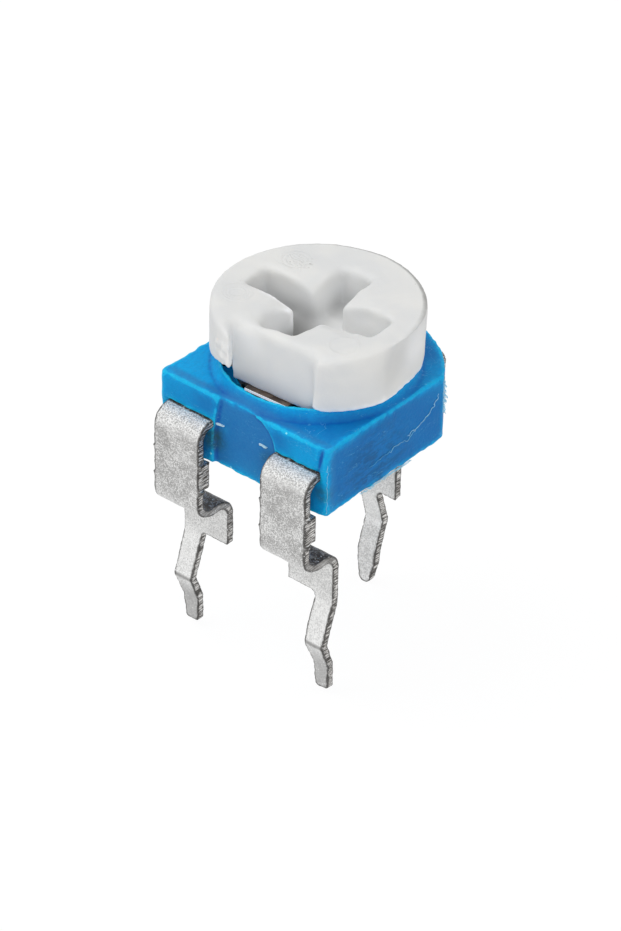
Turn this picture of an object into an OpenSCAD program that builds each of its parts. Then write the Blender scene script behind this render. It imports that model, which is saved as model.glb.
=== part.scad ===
// Single-turn trimmer potentiometer: a moulded housing on three formed
// terminals, a round rotor with a cross recess, and the resistive element,
// wiper and collector that work inside. Millimetres, +Z up. The origin is on
// the rotor's axis, in the plane where the terminals' shoulders seat on a
// circuit board; the legs reach down through the board.

/* [Housing] */
// Width of the housing across the two front terminals
body_w = 6.2; // [6.0:0.1:7.0]
// Rotor axis to the front face
body_front = 3.18; // [3.15:0.01:3.6]
// Radius of the rounded back, about the rotor axis
body_back = 3.67; // [3.5:0.01:4.2]
// Air gap between the circuit board and the housing's underside
body_lift = 3.34; // [3.0:0.01:3.9]
// Height of the housing's block, underside to flat top
body_h = 2.27; // [2.1:0.01:2.8]
// Radius of the two front corners
corner_r = 0.12; // [0.08:0.01:0.5]
// Depth of the panel let into the front face between the terminals
panel_depth = 0.11; // [0.05:0.01:0.2]
// Radius of the panel's one large corner
panel_corner_r = 0.95; // [0.3:0.05:1.0]
// How far the panel's sides close in from the slots to the top
panel_taper = 0.20; // [0:0.01:0.3]
// Height of the collar round the cavity's mouth
collar_h = 0.36; // [0.2:0.01:0.5]
// Radius of the cavity
cavity_r = 2.76; // [2.6:0.01:2.78]
// Width of the collar's flat lip
collar_lip = 0.07; // [0.04:0.01:0.08]
// Width of the collar's hollow flank
collar_flank = 0.23; // [0.1:0.01:0.24]
// Wall thickness of the stop ledge inside the cavity
ledge_wall = 0.42; // [0.3:0.01:0.5]
// Height of the stop ledge above the element board
ledge_h = 0.37; // [0.2:0.01:0.4]
// Angle that the stop ledge covers, round the front
ledge_deg = 100; // [60:5:110]

/* [Terminals] */
// Distance between the two front legs' middles
pin_pitch = 5.0; // [4.8:0.1:5.2]
// Distance from the front legs to the rear leg
row_pitch = 5.0; // [4.8:0.1:5.4]
// Rotor axis to the middle of the front legs' sheet
front_pin_y = 2.365; // [2.2:0.005:2.6]
// Thickness of the terminals' sheet
sheet_t = 0.25; // [0.18:0.01:0.3]
// Width of the front terminals' strips
strip_w = 1.68; // [1.4:0.01:1.8]
// Width of the rear terminal's strip above its step
rear_w = 2.70; // [2.2:0.02:3.0]
// Width of the rear terminal's plate below its step
rear_plate_w = 2.06; // [1.6:0.02:2.2]
// Height of the strips' top face where they leave the housing
exit_z = 4.73; // [4.5:0.01:4.9]
// How far the front strips stand out from the front face
front_reach = 0.62; // [0.5:0.01:0.9]
// How far the rear strip stands out from the back face
rear_reach = 0.60; // [0.5:0.01:0.9]
// Inside radius of the bend where a strip turns down
top_bend_r = 0.31; // [0.2:0.01:0.4]
// Inside radius of the two bends of the step under the housing
step_bend_r = 0.36; // [0.15:0.01:0.40]
// Height of the step's lower face above the board
step_z = 1.40; // [1.0:0.01:2.0]
// Width of a leg between shoulder and kink
leg_w = 0.67; // [0.5:0.01:0.8]
// Width of a front leg's square tip
tip_w = 0.47; // [0.3:0.01:0.6]
// Width of the rear leg's tapered tip
rear_tip_w = 0.40; // [0.25:0.01:0.6]
// Length of the front legs below the board's surface
leg_l = 3.32; // [2.8:0.01:4.0]
// Length of the rear leg below the board's surface
rear_leg_l = 3.49; // [2.8:0.01:4.0]
// How far the front legs' kink stands out
front_kink = 0.45; // [0.2:0.01:0.6]
// How far the rear leg's kink stands out
rear_kink = 0.33; // [0.2:0.01:0.6]
// Radius in the corner between shoulder and leg
shoulder_r = 0.20; // [0.05:0.01:0.3]
// Height of the ears folded back from the front strips' edges
ear_h = 0.86; // [0.5:0.01:1.2]
// Depth of an ear, from the strip's outer face
ear_depth = 0.50; // [0.35:0.01:0.6]
// Height of the ears' lower edge above the board
ear_z = 2.50; // [2.2:0.01:2.8]
// Radius of the small burr at each end of an ear
burr_r = 0.08; // [0.03:0.01:0.12]

/* [Rotor] */
// Diameter of the rotor's head
head_d = 6.16; // [6.0:0.01:6.4]
// Height of the head's side
head_h = 1.74; // [1.4:0.01:2.2]
// Running gap between the head and the collar's lip
head_gap = 0.06; // [0.03:0.01:0.1]
// Radius of the head's top edge
head_edge_r = 0.05; // [0.03:0.01:0.25]
// Radius of the head's lower edge
head_low_r = 0.12; // [0.05:0.01:0.2]
// Angle of the rotor at rest, from the middle of its travel
rest_deg = 2.5; // [-60:0.5:60]
// Rotor axis to the flat wall of the deep notch in the head's side
notch_y = 2.20; // [2.1:0.01:2.4]
// Middle of the notch to the inner end of its left side
notch_left = 1.35; // [1.2:0.01:1.6]
// Middle of the notch to the outer end of its left side, which leans over the notch
notch_lip = 0.74; // [0.6:0.01:1.2]
// Middle of the notch to its right side
notch_right = 1.71; // [1.2:0.01:1.8]
// Length over which the head's lower edge climbs to the notch's left side
climb_l = 2.10; // [1.6:0.02:2.2]
// Slope of that climb, as height over length
climb_slope = 0.30; // [0.1:0.01:0.34]
// Width over which the head's lower edge rises towards the notch's right side
flare_right = 0.40; // [0.2:0.01:0.8]
// Steepness of that rise, as height over width
flare_rise = 0.42; // [0.2:0.05:0.6]
// Rotor axis to the index flat on the head's side
index_x = 2.90; // [2.8:0.01:3.0]
// Angle of the index flat from the cross recess's long arm
index_deg = 5; // [0:1:10]
// Width of the cross recess's arms
cross_w = 1.05; // [0.8:0.01:1.3]
// Length of the cross recess's long pair of arms, tip to tip
cross_l = 4.50; // [3.6:0.02:4.6]
// Length of the cross recess's short pair of arms, tip to tip
cross_short = 3.72; // [3.4:0.02:4.2]
// Depth of the cross recess
cross_depth = 1.20; // [0.8:0.01:1.4]
// Radius of the dish round the middle of the cross
dish_r = 1.60; // [1.2:0.01:1.8]
// Depth that the dish would have at the rotor's axis
dish_depth = 0.86; // [0.2:0.01:0.9]
// Diameter of the rotor's stem
stem_d = 1.56; // [1.3:0.01:1.8]
// Diameter of the stem's riveted-over foot
foot_d = 2.3; // [2.0:0.02:2.6]
// Thickness of the stem's foot
foot_t = 0.34; // [0.2:0.01:0.5]
// How far the foot stays above the housing's underside
foot_sink = 0.08; // [0.03:0.01:0.2]
// Angle through which the rotor turns, from stop to stop
travel_deg = 228; // [180:2:236]
// Angle left between the stop lug and the ledge at each end of the travel
lug_spare_deg = 1; // [0.5:0.5:3]

/* [Element] */
// Thickness of the element board
board_t = 0.40; // [0.3:0.01:0.5]
// Thickness of the printed layers
print_t = 0.02; // [0.01:0.005:0.03]
// Inner radius of the carbon track
track_r1 = 1.56; // [1.4:0.01:1.7]
// Outer radius of the carbon track
track_r2 = 2.24; // [2.0:0.01:2.3]
// Angle of bare board between the two end pads
bare_deg = 16; // [8:1:30]
// Angle that each end pad covers
pad_deg = 38; // [25:1:45]
// Diameter of a rivet's shank
rivet_d = 0.30; // [0.2:0.01:0.4]
// Diameter of a rivet's heads
rivet_head_d = 0.46; // [0.36:0.01:0.5]
// Height of a rivet's heads
rivet_head_h = 0.12; // [0.08:0.01:0.16]
// Radius of the circle that the rivets stand on
rivet_at_r = 1.98; // [1.85:0.01:2.05]

/* [Wiper] */
// Thickness of the wiper's spring sheet
wiper_t = 0.15; // [0.1:0.01:0.18]
// Height of the wiper's sheet above the stop ledge
wiper_over_ledge = 0.05; // [0.05:0.01:0.1]
// Width of the contact arm with its two fingers
finger_w = 0.78; // [0.5:0.01:0.9]
// Width of the slit between the fingers
slit_w = 0.14; // [0.08:0.01:0.2]
// Width of the gap that frees the arm from the wiper's disc
arm_gap = 0.12; // [0.08:0.01:0.2]
// Radius of the circle that the contact runs on
contact_r = 1.90; // [1.75:0.01:2.0]
// Radius of the wiper's disc
wiper_disc_r = 1.75; // [1.5:0.01:1.9]
// Width of the wiper's front tab
tab_w = 1.52; // [1.2:0.01:1.6]
// Rotor axis to the front tab's edge
tab_y = 2.36; // [2.0:0.01:2.4]

/* [Clearances] */
// Radial running clearance round the stem
stem_gap = 0.06; // [0.03:0.01:0.1]
// Gap between moving and fixed parts that face each other
run_gap = 0.05; // [0.03:0.01:0.1]
// Gap between the wiper's contacts and what they slide on
contact_gap = 0.02; // [0.01:0.01:0.04]
// Gap round parts that drop into the cavity
drop_gap = 0.05; // [0.03:0.01:0.1]

/* [Hidden] */

$fn = 96;
bend_steps = 8;      // flats that stand for the arc of one bend
edge_steps = 6;      // flats that stand for the arc of a rounded edge
over = 1;            // how far a cutter runs past what it cuts

top_z = body_lift + body_h;
collar_z = top_z + collar_h;
collar_foot_r = cavity_r + collar_lip + collar_flank;
board_z = exit_z + board_t;              // face of the board that carries the track
track_z = board_z + print_t;
ledge_z = board_z + ledge_h;
ledge_r = cavity_r - ledge_wall;
plate_z = ledge_z + wiper_over_ledge;    // underside of the wiper's sheet
hub_z = plate_z + wiper_t;               // underside of the rotor's hub
head_z = collar_z + head_gap;            // underside of the rotor's head
rotor_z = head_z + head_h;               // top of the rotor
foot_z = body_lift + foot_sink;
head_r = head_d / 2;
stem_r = stem_d / 2;
bore_r = stem_r + stem_gap;              // bore of the floor and of the collector
hub_r = notch_y - 0.05;
index_h = head_h - head_edge_r - 0.03;   // the index flat ends below the rounded edge
lug_deg = 360 - ledge_deg - travel_deg - 2 * lug_spare_deg;
lug_r1 = ledge_r + 0.02;
lug_r2 = cavity_r - 0.14;
foot_space_r = foot_d / 2 + 0.2;
collector_r = bore_r + 0.26;             // outside of the rear terminal's drawn ring
collector_z = track_z;
collector_neck = 1.4;                    // width of the narrow part of the rear tongue
strip_root = 0.7;                        // how deep the rear strip goes in at full width
sleeve_z = collector_z + contact_gap;    // lower end of the wiper's drawn sleeve
strip_x2 = pin_pitch / 2 + leg_w / 2;    // outer edge of the front strips
strip_x1 = strip_x2 - strip_w;           // inner edge of the front strips
rear_pin_y = row_pitch - front_pin_y;
panel_y = body_front - panel_depth;
panel_rib = 0.02;                        // rib left between the panel and each strip
front_out = body_front + front_reach;    // outer face of the front strips
rear_out = body_back + rear_reach;       // outer face of the rear strip
tongue_x1 = strip_x1 - 0.36;             // inner edge of the tongue in the housing
tongue_y1 = rivet_at_r * cos(rivet_deg()) - 0.45;
tongue_y2 = panel_y - 0.25;
ear_round = 0.10;                        // outside radius of an ear's fold
shallow_r = 0.30;                        // radius of the legs' soft bends, at mid-sheet
kink_r = 0.18;                           // radius of the legs' sharp kink, at mid-sheet
tip_cut = 0.06;                          // corners taken off the front legs' tips
rear_tip_cut = 0.10;                     // corners taken off the rear leg's tip
taper_z = -0.5 * leg_l;                  // where the front legs start to narrow
rear_taper_z = -0.78 * rear_leg_l;       // where the rear leg starts to narrow
kink_top_z = -0.22;                      // where a leg starts to swing out
front_kink_z = -0.47 * leg_l;            // how low the front legs' kink stands
rear_kink_z = -0.385 * rear_leg_l;       // how low the rear leg's kink stands
kink_end_z = -0.73 * leg_l;              // where the legs are straight again
front_tail = 0.08;                       // how far a front leg's end stands out
rear_tail = 0.03;                        // how far the rear leg's end stands out
tail_lean = 0.08;                        // how far a leg's end leans back in

// Angle of a rivet from the middle of the front, in the middle of its pad
function rivet_deg() = (bare_deg + pad_deg) / 2 + 8;

// ---- sheet metal: a path along the middle of the sheet, with rounded bends ----

function unit(v) = v / norm(v);
function left_of(v) = [-v[1], v[0]];
function turn_deg(a, b) = atan2(a[0] * b[1] - a[1] * b[0], a * b);

// Points of one bend, at a distance `off` to the left of the sheet's middle
function bend(p, q, s, r, off) =
    let (d0 = unit(q - p), d1 = unit(s - q), th = turn_deg(d0, d1), side = sign(th),
         c = q - d0 * r * tan(abs(th) / 2) + left_of(d0) * side * r,
         u = -left_of(d0) * side, a0 = atan2(u[1], u[0]))
    [for (k = [0:bend_steps]) let (a = a0 + th * k / bend_steps)
        c + (r - side * off) * [cos(a), sin(a)]];

// One face of the sheet, from the path's first point to its last
function sheet_face(path, radii, off) =
    let (n = len(path) - 1, d0 = unit(path[1] - path[0]), d1 = unit(path[n] - path[n - 1]))
    concat([path[0] + left_of(d0) * off],
           [for (i = [1:n - 1]) each bend(path[i - 1], path[i], path[i + 1], radii[i - 1], off)],
           [path[n] + left_of(d1) * off]);

function reversed(list) = [for (i = [len(list) - 1:-1:0]) list[i]];

// Section of a bent sheet
module sheet_section(path, radii, t) {
    polygon(concat(sheet_face(path, radii, t / 2), reversed(sheet_face(path, radii, -t / 2))));
}

// Extrudes a section drawn in (outwards, up) from x1 to x2; outwards is -Y
module across_front(x1, x2) {
    translate([x2, 0, 0]) rotate([90, 0, -90]) linear_extrude(x2 - x1) children();
}

// Extrudes an outline drawn in (x, up) from outwards y1 to y2
module through_front(y1, y2) {
    translate([0, -y1, 0]) rotate([90, 0, 0]) linear_extrude(y2 - y1) children();
}

// Middle of a terminal's sheet from the housing to the leg's tip
function terminal_path(inside, out, pin, kink, kink_z, tail, long) =
    let (mid = sheet_t / 2)
    [[inside, exit_z - mid], [out - mid, exit_z - mid], [out - mid, step_z + mid],
     [pin, step_z + mid], [pin, kink_top_z], [pin + kink, kink_z],
     [pin + tail, kink_end_z], [pin + tail - tail_lean, -long - sheet_t]];

terminal_bends = [top_bend_r + sheet_t / 2, step_bend_r + sheet_t / 2,
                  step_bend_r + sheet_t / 2, shallow_r, kink_r, shallow_r];

// Flat blank of a terminal, seen square-on: a plate with one leg
module blank(x1, x2, leg_x, tip, cut, narrow_z, long) {
    half = leg_w / 2;
    half_tip = tip / 2;
    translate([x1, 0]) square([x2 - x1, exit_z + over]);
    polygon([[leg_x - half, shoulder_r], [leg_x - half, narrow_z],
             [leg_x - half_tip, -long + cut], [leg_x - half_tip + cut, -long],
             [leg_x + half_tip - cut, -long], [leg_x + half_tip, -long + cut],
             [leg_x + half, narrow_z], [leg_x + half, shoulder_r]]);
    for (s = [-1, 1])
        if (s < 0 ? x1 < leg_x - half - shoulder_r : x2 > leg_x + half + shoulder_r)
            difference() {
                translate([leg_x + s * (half + shoulder_r / 2), 0])
                    square([shoulder_r, 2 * shoulder_r], center = true);
                translate([leg_x + s * (half + shoulder_r), -shoulder_r])
                    circle(r = shoulder_r, $fn = 32);
            }
}

// Widening of the rear terminal's blank above the step
module rear_widening() {
    foot_of_taper = step_z + sheet_t + step_bend_r;
    spread = (rear_w - rear_plate_w) / 2;
    polygon([[-rear_plate_w / 2, foot_of_taper], [-rear_w / 2, foot_of_taper + spread],
             [-rear_w / 2, exit_z + over], [rear_w / 2, exit_z + over],
             [rear_w / 2, foot_of_taper + spread], [rear_plate_w / 2, foot_of_taper]]);
}

// An ear folded back from the edge of a front strip, with a burr at each end
module ear(edge_x, side) {
    inner_x = edge_x - (side > 0 ? sheet_t : 0);
    difference() {
        translate([inner_x, -front_out, ear_z]) cube([sheet_t, ear_depth, ear_h]);
        translate([edge_x - side * ear_round, -front_out + ear_round, ear_z - over])
            rotate([0, 0, side > 0 ? -90 : 180])
                difference() {
                    cube([2 * ear_round, 2 * ear_round, ear_h + 2 * over]);
                    translate([0, 0, -over])
                        cylinder(r = ear_round, h = ear_h + 4 * over, $fn = 32);
                }
    }
    for (z = [ear_z - 0.02, ear_z + ear_h + 0.04])
        translate([edge_x, -front_out + sheet_t - 0.04, z]) rotate([90, 0, 0])
            cylinder(r = burr_r, h = sheet_t - 0.08, $fn = 24);
}

// The part of a front terminal that lies in the housing, as an outline in plan
module tongue_outline() {
    translate([strip_x1, -body_front]) square([strip_w, body_front - tongue_y1]);
    translate([tongue_x1, -tongue_y2]) square([strip_x2 - tongue_x1, tongue_y2 - tongue_y1]);
}

// The part of the rear terminal that lies in the housing, as an outline in plan
module collector_outline() {
    translate([-rear_w / 2, body_back - strip_root]) square([rear_w, strip_root]);
    translate([-collector_neck / 2, 0]) square([collector_neck, body_back]);
    circle(r = collector_r + 0.3);
}

module sheet_at_exit() {
    translate([0, 0, exit_z - sheet_t]) linear_extrude(sheet_t) children();
}

module terminal_front() {
    difference() {
        union() {
            intersection() {
                across_front(strip_x1, strip_x2)
                    sheet_section(terminal_path(body_front, front_out, front_pin_y,
                                                front_kink, front_kink_z, front_tail, leg_l),
                                  terminal_bends, sheet_t);
                through_front(0, front_out + over)
                    blank(strip_x1, strip_x2, pin_pitch / 2, tip_w, tip_cut, taper_z, leg_l);
            }
            sheet_at_exit() tongue_outline();
            ear(strip_x1, -1);
            ear(strip_x2, 1);
        }
        rivet_place(1) cylinder(d = rivet_d, h = exit_z + over);
    }
}

module terminal_right() {
    color("#b9bbb8") terminal_front();
}

module terminal_left() {
    color("#b9bbb8") mirror([1, 0, 0]) terminal_front();
}

module terminal_rear() {
    color("#b9bbb8") difference() {
        union() {
            mirror([0, 1, 0]) intersection() {
                across_front(-rear_w / 2, rear_w / 2)
                    sheet_section(terminal_path(body_back, rear_out, rear_pin_y,
                                                rear_kink, rear_kink_z, rear_tail, rear_leg_l),
                                  terminal_bends, sheet_t);
                through_front(0, rear_out + over) {
                    blank(-rear_plate_w / 2, rear_plate_w / 2, 0, rear_tip_w, rear_tip_cut,
                          rear_taper_z, rear_leg_l);
                    rear_widening();
                }
            }
            sheet_at_exit() collector_outline();
            translate([0, 0, exit_z - sheet_t])
                cylinder(r = collector_r, h = collector_z - exit_z + sheet_t);
        }
        translate([0, 0, exit_z - sheet_t - over])
            cylinder(r = bore_r, h = sheet_t + board_t + 3 * over);
    }
}

// ---- housing ----

// Plan of the housing's block: a square front and a back rounded about the rotor
module body_plan() {
    w = body_w / 2;
    intersection() {
        union() {
            translate([-w, -body_front + corner_r]) square([body_w, body_front + body_back]);
            translate([-w + corner_r, -body_front]) square([body_w - 2 * corner_r, 2 * corner_r]);
            for (s = [-1, 1])
                translate([s * (w - corner_r), -body_front + corner_r])
                    circle(r = corner_r, $fn = 48);
        }
        union() {
            circle(r = body_back);
            translate([-body_w, -body_front - over]) square([2 * body_w, body_front + over]);
        }
    }
}

// The front face's panel, in (x, up): one large corner, sides that close in upwards
module panel_outline() {
    wide = strip_x1 - panel_rib;
    narrow = wide - panel_taper;
    slot_z = exit_z - sheet_t;
    intersection() {
        polygon([[-wide, body_lift - over], [wide, body_lift - over], [wide, slot_z],
                 [wide, top_z + over], [-narrow, top_z + over], [-narrow, top_z], [-wide, slot_z]]);
        union() {
            translate([-2 * wide, body_lift - over])
                square([4 * wide, body_h - panel_corner_r + over]);
            translate([-2 * wide, body_lift])
                square([3 * wide - panel_corner_r, body_h + 2 * over]);
            translate([wide - panel_corner_r, top_z - panel_corner_r]) circle(r = panel_corner_r);
        }
    }
}

// Solid of the collar: a ring with a small flat lip and a hollow flank
module collar() {
    root_z = top_z - 0.3;
    lip_r = cavity_r + collar_lip;
    run = collar_foot_r - lip_r;
    bow = 0.5;      // share of the flank that follows the hollow arc
    rotate_extrude() polygon(concat(
        [[cavity_r - 0.2, root_z], [cavity_r - 0.2, collar_z], [lip_r, collar_z]],
        [for (k = [1:edge_steps]) let (f = k / edge_steps, a = 90 * f)
            [lip_r + run * (bow * (1 - cos(a)) + (1 - bow) * f),
             collar_z - collar_h * (bow * sin(a) + (1 - bow) * f)]],
        [[collar_foot_r, root_z]]));
}

// A piece of a ring, centred on angle `mid`
module arc_piece(r1, r2, mid, deg, h) {
    rotate([0, 0, mid - deg / 2]) rotate_extrude(angle = deg)
        translate([r1, 0]) square([r2 - r1, h]);
}

module housing() {
    color("#2c8bd0") difference() {
        union() {
            difference() {
                union() {
                    translate([0, 0, body_lift]) linear_extrude(body_h) body_plan();
                    collar();
                }
                through_front(panel_y, body_front + over) panel_outline();
                translate([0, 0, exit_z]) cylinder(r = cavity_r, h = body_h);
            }
            translate([0, 0, board_z])
                arc_piece(ledge_r, cavity_r + 0.1, -90, ledge_deg, ledge_h);
        }
        translate([0, 0, body_lift - over]) cylinder(r = bore_r, h = body_h + over);
        translate([0, 0, body_lift - over])
            cylinder(r = foot_space_r, h = over + foot_sink + foot_t + run_gap);
        sheet_at_exit() {
            tongue_outline();
            mirror([1, 0]) tongue_outline();
            collector_outline();
        }
        for (s = [-1, 1]) rivet_place(s)
            translate([0, 0, exit_z - sheet_t - rivet_head_h])
                cylinder(d = rivet_head_d + 2 * drop_gap, h = rivet_head_h + sheet_t / 2);
    }
}

// ---- rotor ----

// Section of the head: a disc with a rounded top edge and a dished middle
module head_section() {
    dish_steps = 8;
    polygon(concat(
        [[0, head_z]],
        [for (k = [0:edge_steps]) let (a = 90 * k / edge_steps)
            [head_r - head_low_r * (1 - sin(a)), head_z + head_low_r * (1 - cos(a))]],
        [for (k = [0:edge_steps]) let (a = 90 * k / edge_steps)
            [head_r - head_edge_r * (1 - cos(a)), rotor_z - head_edge_r * (1 - sin(a))]],
        [for (k = [0:dish_steps]) let (f = k / dish_steps)
            [dish_r * (1 - f), rotor_z - dish_depth * f * f * (1.6 - 0.6 * f)]]));
}

// Space right of the notch, in (x, up), under the head's rising lower edge
module flare() {
    w = flare_right;
    rise = w * flare_rise;
    r = (w * w + rise * rise) / (2 * rise);
    intersection() {
        difference() {
            translate([notch_right + w / 2, head_z + rise / 2 - over / 2])
                square([w, rise + over], center = true);
            translate([notch_right + w, head_z + r]) circle(r = r);
        }
        translate([0, head_z - over]) square([head_d, rise + over]);
    }
}

// Plan of the notch: a flat wall, and a left side that leans over it on its way out
module notch_plan() {
    out = head_r + over - notch_y;
    lean = (notch_left - notch_lip) / (head_r - notch_y);
    polygon([[-notch_left, -notch_y], [notch_right, -notch_y],
             [notch_right, -notch_y - out], [-notch_left + lean * out, -notch_y - out]]);
}

// Space left of the notch under the head's climbing lower edge, clear of the hub
module climb_space() {
    inner_y = 1.2;
    hub_margin = 0.02;
    top = head_z + climb_l * climb_slope;
    difference() {
        through_front(inner_y, head_r + over)
            polygon([[-notch_lip, head_z - over], [-notch_lip, top],
                     [-notch_lip - climb_l, head_z], [-notch_lip - climb_l, head_z - over]]);
        translate([0, 0, head_z - 2 * over])
            linear_extrude(head_h + 2 * over) offset(delta = hub_margin) hub_plan();
    }
}

// Plan of the hub that carries the wiper: round, with a flat front below the notch
module hub_plan() {
    circle(r = hub_r);
    intersection() {
        circle(r = lug_r2);
        translate([-notch_left, -notch_y]) square([notch_left + notch_right, notch_y]);
    }
}

// Plan of one pair of the cross recess's arms, with rounded tips
module arm_pair(l, w) {
    r = 0.08;
    square([l - 2 * r, w], center = true);
    square([l, w - 2 * r], center = true);
    for (x = [-1, 1], y = [-1, 1])
        translate([x * (l / 2 - r), y * (w / 2 - r)]) circle(r = r, $fn = 24);
}

module rotor_upright() {
    difference() {
        union() {
            rotate_extrude() head_section();
            translate([0, 0, hub_z]) linear_extrude(head_z - hub_z + 0.1) hub_plan();
            translate([0, 0, foot_z]) cylinder(r = stem_r, h = hub_z - foot_z + 0.1);
            translate([0, 0, foot_z]) cylinder(r = foot_d / 2, h = foot_t);
            translate([0, 0, board_z + run_gap])
                arc_piece(lug_r1, lug_r2, 90, lug_deg, head_z - board_z);
        }
        translate([0, 0, hub_z - over]) linear_extrude(rotor_z - hub_z + 2 * over) notch_plan();
        through_front(notch_y, head_r + over) flare();
        climb_space();
        rotate([0, 0, index_deg]) translate([index_x, -head_r, head_z - over])
            cube([over, head_d, index_h + over]);
        translate([0, 0, rotor_z - cross_depth]) linear_extrude(cross_depth + over) {
            arm_pair(cross_l, cross_w);
            rotate(90) arm_pair(cross_short, cross_w);
        }
        translate([0, 0, foot_z - over]) cylinder(d = stem_d / 2, h = foot_t + over);
    }
}

module rotor() {
    color("#e4e4e1") rotate([0, 0, rest_deg]) rotor_upright();
}

// ---- wiper: one stamped spring that turns with the rotor ----

// Extrudes a section drawn in (outwards, up) along +Y, centred on X = 0
module along_back(w) {
    translate([-w / 2, 0, 0]) rotate([90, 0, 90]) linear_extrude(w) children();
}

module wiper_plan() {
    inner = collector_r + 0.04;
    difference() {
        union() {
            circle(r = wiper_disc_r);
            translate([-tab_w / 2, -tab_y]) square([tab_w, tab_y]);
        }
        translate([-finger_w / 2 - arm_gap, inner])
            square([finger_w + 2 * arm_gap, wiper_disc_r]);
    }
}

// Sprung arm that leaves the disc and comes down on the track with a round nose
module wiper_arm() {
    nose_r = 0.13;
    mid_z = plate_z + wiper_t / 2;
    root = collector_r + 0.25;
    low_z = track_z + contact_gap + wiper_t / 2;
    slope = atan2(mid_z - low_z, contact_r - root);
    nose_z = low_z - nose_r * (1 / cos(slope) - 1);
    tail = 0.24;
    difference() {
        along_back(finger_w)
            sheet_section([[collector_r - 0.1, mid_z], [root, mid_z], [contact_r, nose_z],
                           [contact_r + tail, nose_z + tail * tan(slope)]],
                          [nose_r, nose_r], wiper_t);
        translate([-slit_w / 2, root - 0.05, track_z - over])
            cube([slit_w, head_r, hub_z - track_z + over]);
    }
}

module wiper() {
    color("#c9a25a") rotate([0, 0, rest_deg]) difference() {
        union() {
            translate([0, 0, plate_z]) linear_extrude(wiper_t) wiper_plan();
            translate([0, 0, sleeve_z]) cylinder(r = stem_r + 0.24, h = plate_z - sleeve_z + 0.05);
            wiper_arm();
        }
        translate([0, 0, sleeve_z - over]) cylinder(r = stem_r + 0.02, h = over + hub_z);
    }
}

// ---- element ----

module rivet_place(side) {
    rotate([0, 0, -90 + side * rivet_deg()]) translate([rivet_at_r, 0, 0]) children();
}

module element_board() {
    color("#6b4a30") difference() {
        translate([0, 0, exit_z]) cylinder(r = cavity_r - drop_gap, h = board_t);
        translate([0, 0, exit_z - over])
            cylinder(r = collector_r + drop_gap, h = board_t + 2 * over);
        for (s = [-1, 1]) rivet_place(s) translate([0, 0, exit_z - over])
            cylinder(d = rivet_d, h = board_t + 2 * over);
    }
}

module carbon_track() {
    color("#1c1c1e") translate([0, 0, board_z])
        arc_piece(track_r1, track_r2, 90, 360 - bare_deg - 2 * pad_deg, print_t);
}

module end_pad(side) {
    color("#d9d9d6") difference() {
        translate([0, 0, board_z])
            arc_piece(track_r1, track_r2, -90 + side * (bare_deg + pad_deg) / 2,
                      pad_deg, print_t);
        rivet_place(side) cylinder(d = rivet_d, h = board_z + over);
    }
}

module end_pad_left() {
    end_pad(-1);
}

module end_pad_right() {
    end_pad(1);
}

// Rivet that ties an end of the element to its terminal
module rivet(side) {
    low = exit_z - sheet_t - rivet_head_h;
    color("#c8c4b8") rivet_place(side) {
        translate([0, 0, low]) cylinder(d = rivet_d, h = track_z + rivet_head_h - low);
        translate([0, 0, low]) cylinder(d = rivet_head_d, h = rivet_head_h);
        translate([0, 0, track_z]) cylinder(d1 = rivet_head_d, d2 = rivet_d, h = rivet_head_h);
    }
}

module rivet_left() {
    rivet(-1);
}

module rivet_right() {
    rivet(1);
}

housing();
rotor();
wiper();
element_board();
carbon_track();
end_pad_left();
end_pad_right();
rivet_left();
rivet_right();
terminal_left();
terminal_right();
terminal_rear();
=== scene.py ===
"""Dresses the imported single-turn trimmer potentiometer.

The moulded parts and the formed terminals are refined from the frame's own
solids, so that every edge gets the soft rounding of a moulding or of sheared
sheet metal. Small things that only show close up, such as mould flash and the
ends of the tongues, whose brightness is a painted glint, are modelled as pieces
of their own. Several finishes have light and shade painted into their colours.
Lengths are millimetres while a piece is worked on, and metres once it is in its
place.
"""
import logging
import math
from dataclasses import dataclass
from enum import Enum

import bpy
import numpy as np
from mathutils import Matrix, Vector, noise


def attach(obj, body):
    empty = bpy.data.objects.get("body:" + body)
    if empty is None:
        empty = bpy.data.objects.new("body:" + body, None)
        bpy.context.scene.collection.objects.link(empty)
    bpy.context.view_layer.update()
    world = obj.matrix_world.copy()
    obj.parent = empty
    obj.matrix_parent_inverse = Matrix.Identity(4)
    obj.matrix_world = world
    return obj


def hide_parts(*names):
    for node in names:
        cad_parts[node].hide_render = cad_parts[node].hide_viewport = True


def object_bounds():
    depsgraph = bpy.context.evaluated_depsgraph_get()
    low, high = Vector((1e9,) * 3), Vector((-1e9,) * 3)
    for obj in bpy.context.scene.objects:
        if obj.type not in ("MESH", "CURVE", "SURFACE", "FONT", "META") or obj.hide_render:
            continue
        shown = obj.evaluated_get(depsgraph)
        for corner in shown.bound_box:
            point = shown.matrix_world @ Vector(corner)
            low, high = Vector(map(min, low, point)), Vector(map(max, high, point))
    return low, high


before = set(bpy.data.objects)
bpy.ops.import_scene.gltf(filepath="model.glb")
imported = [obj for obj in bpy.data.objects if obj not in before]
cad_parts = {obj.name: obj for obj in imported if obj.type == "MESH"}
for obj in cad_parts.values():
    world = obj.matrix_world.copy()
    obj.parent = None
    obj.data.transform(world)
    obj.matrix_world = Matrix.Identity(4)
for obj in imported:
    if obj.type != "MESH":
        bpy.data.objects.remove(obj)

Point = tuple[float, float, float]
Colour = tuple[float, float, float]
Band = tuple[float, float]
Socket = bpy.types.NodeSocket

LOG = logging.getLogger("trimmer")
CAD_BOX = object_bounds()
# Fixes the noise that the flash and the tongue ends are drawn with.
NOISE_SEED = 7
MM = 0.001
MERGE_GAP = 0.0005
BLACK = (0.0, 0.0, 0.0, 1.0)
# The share of a patch's radius over which it keeps its full weight.
PATCH_CORE = 0.15
# How sharply a soft zone fades; above 1, the stretch's own middle is wholly soft.
ZONE_GAIN = 1.6
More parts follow.
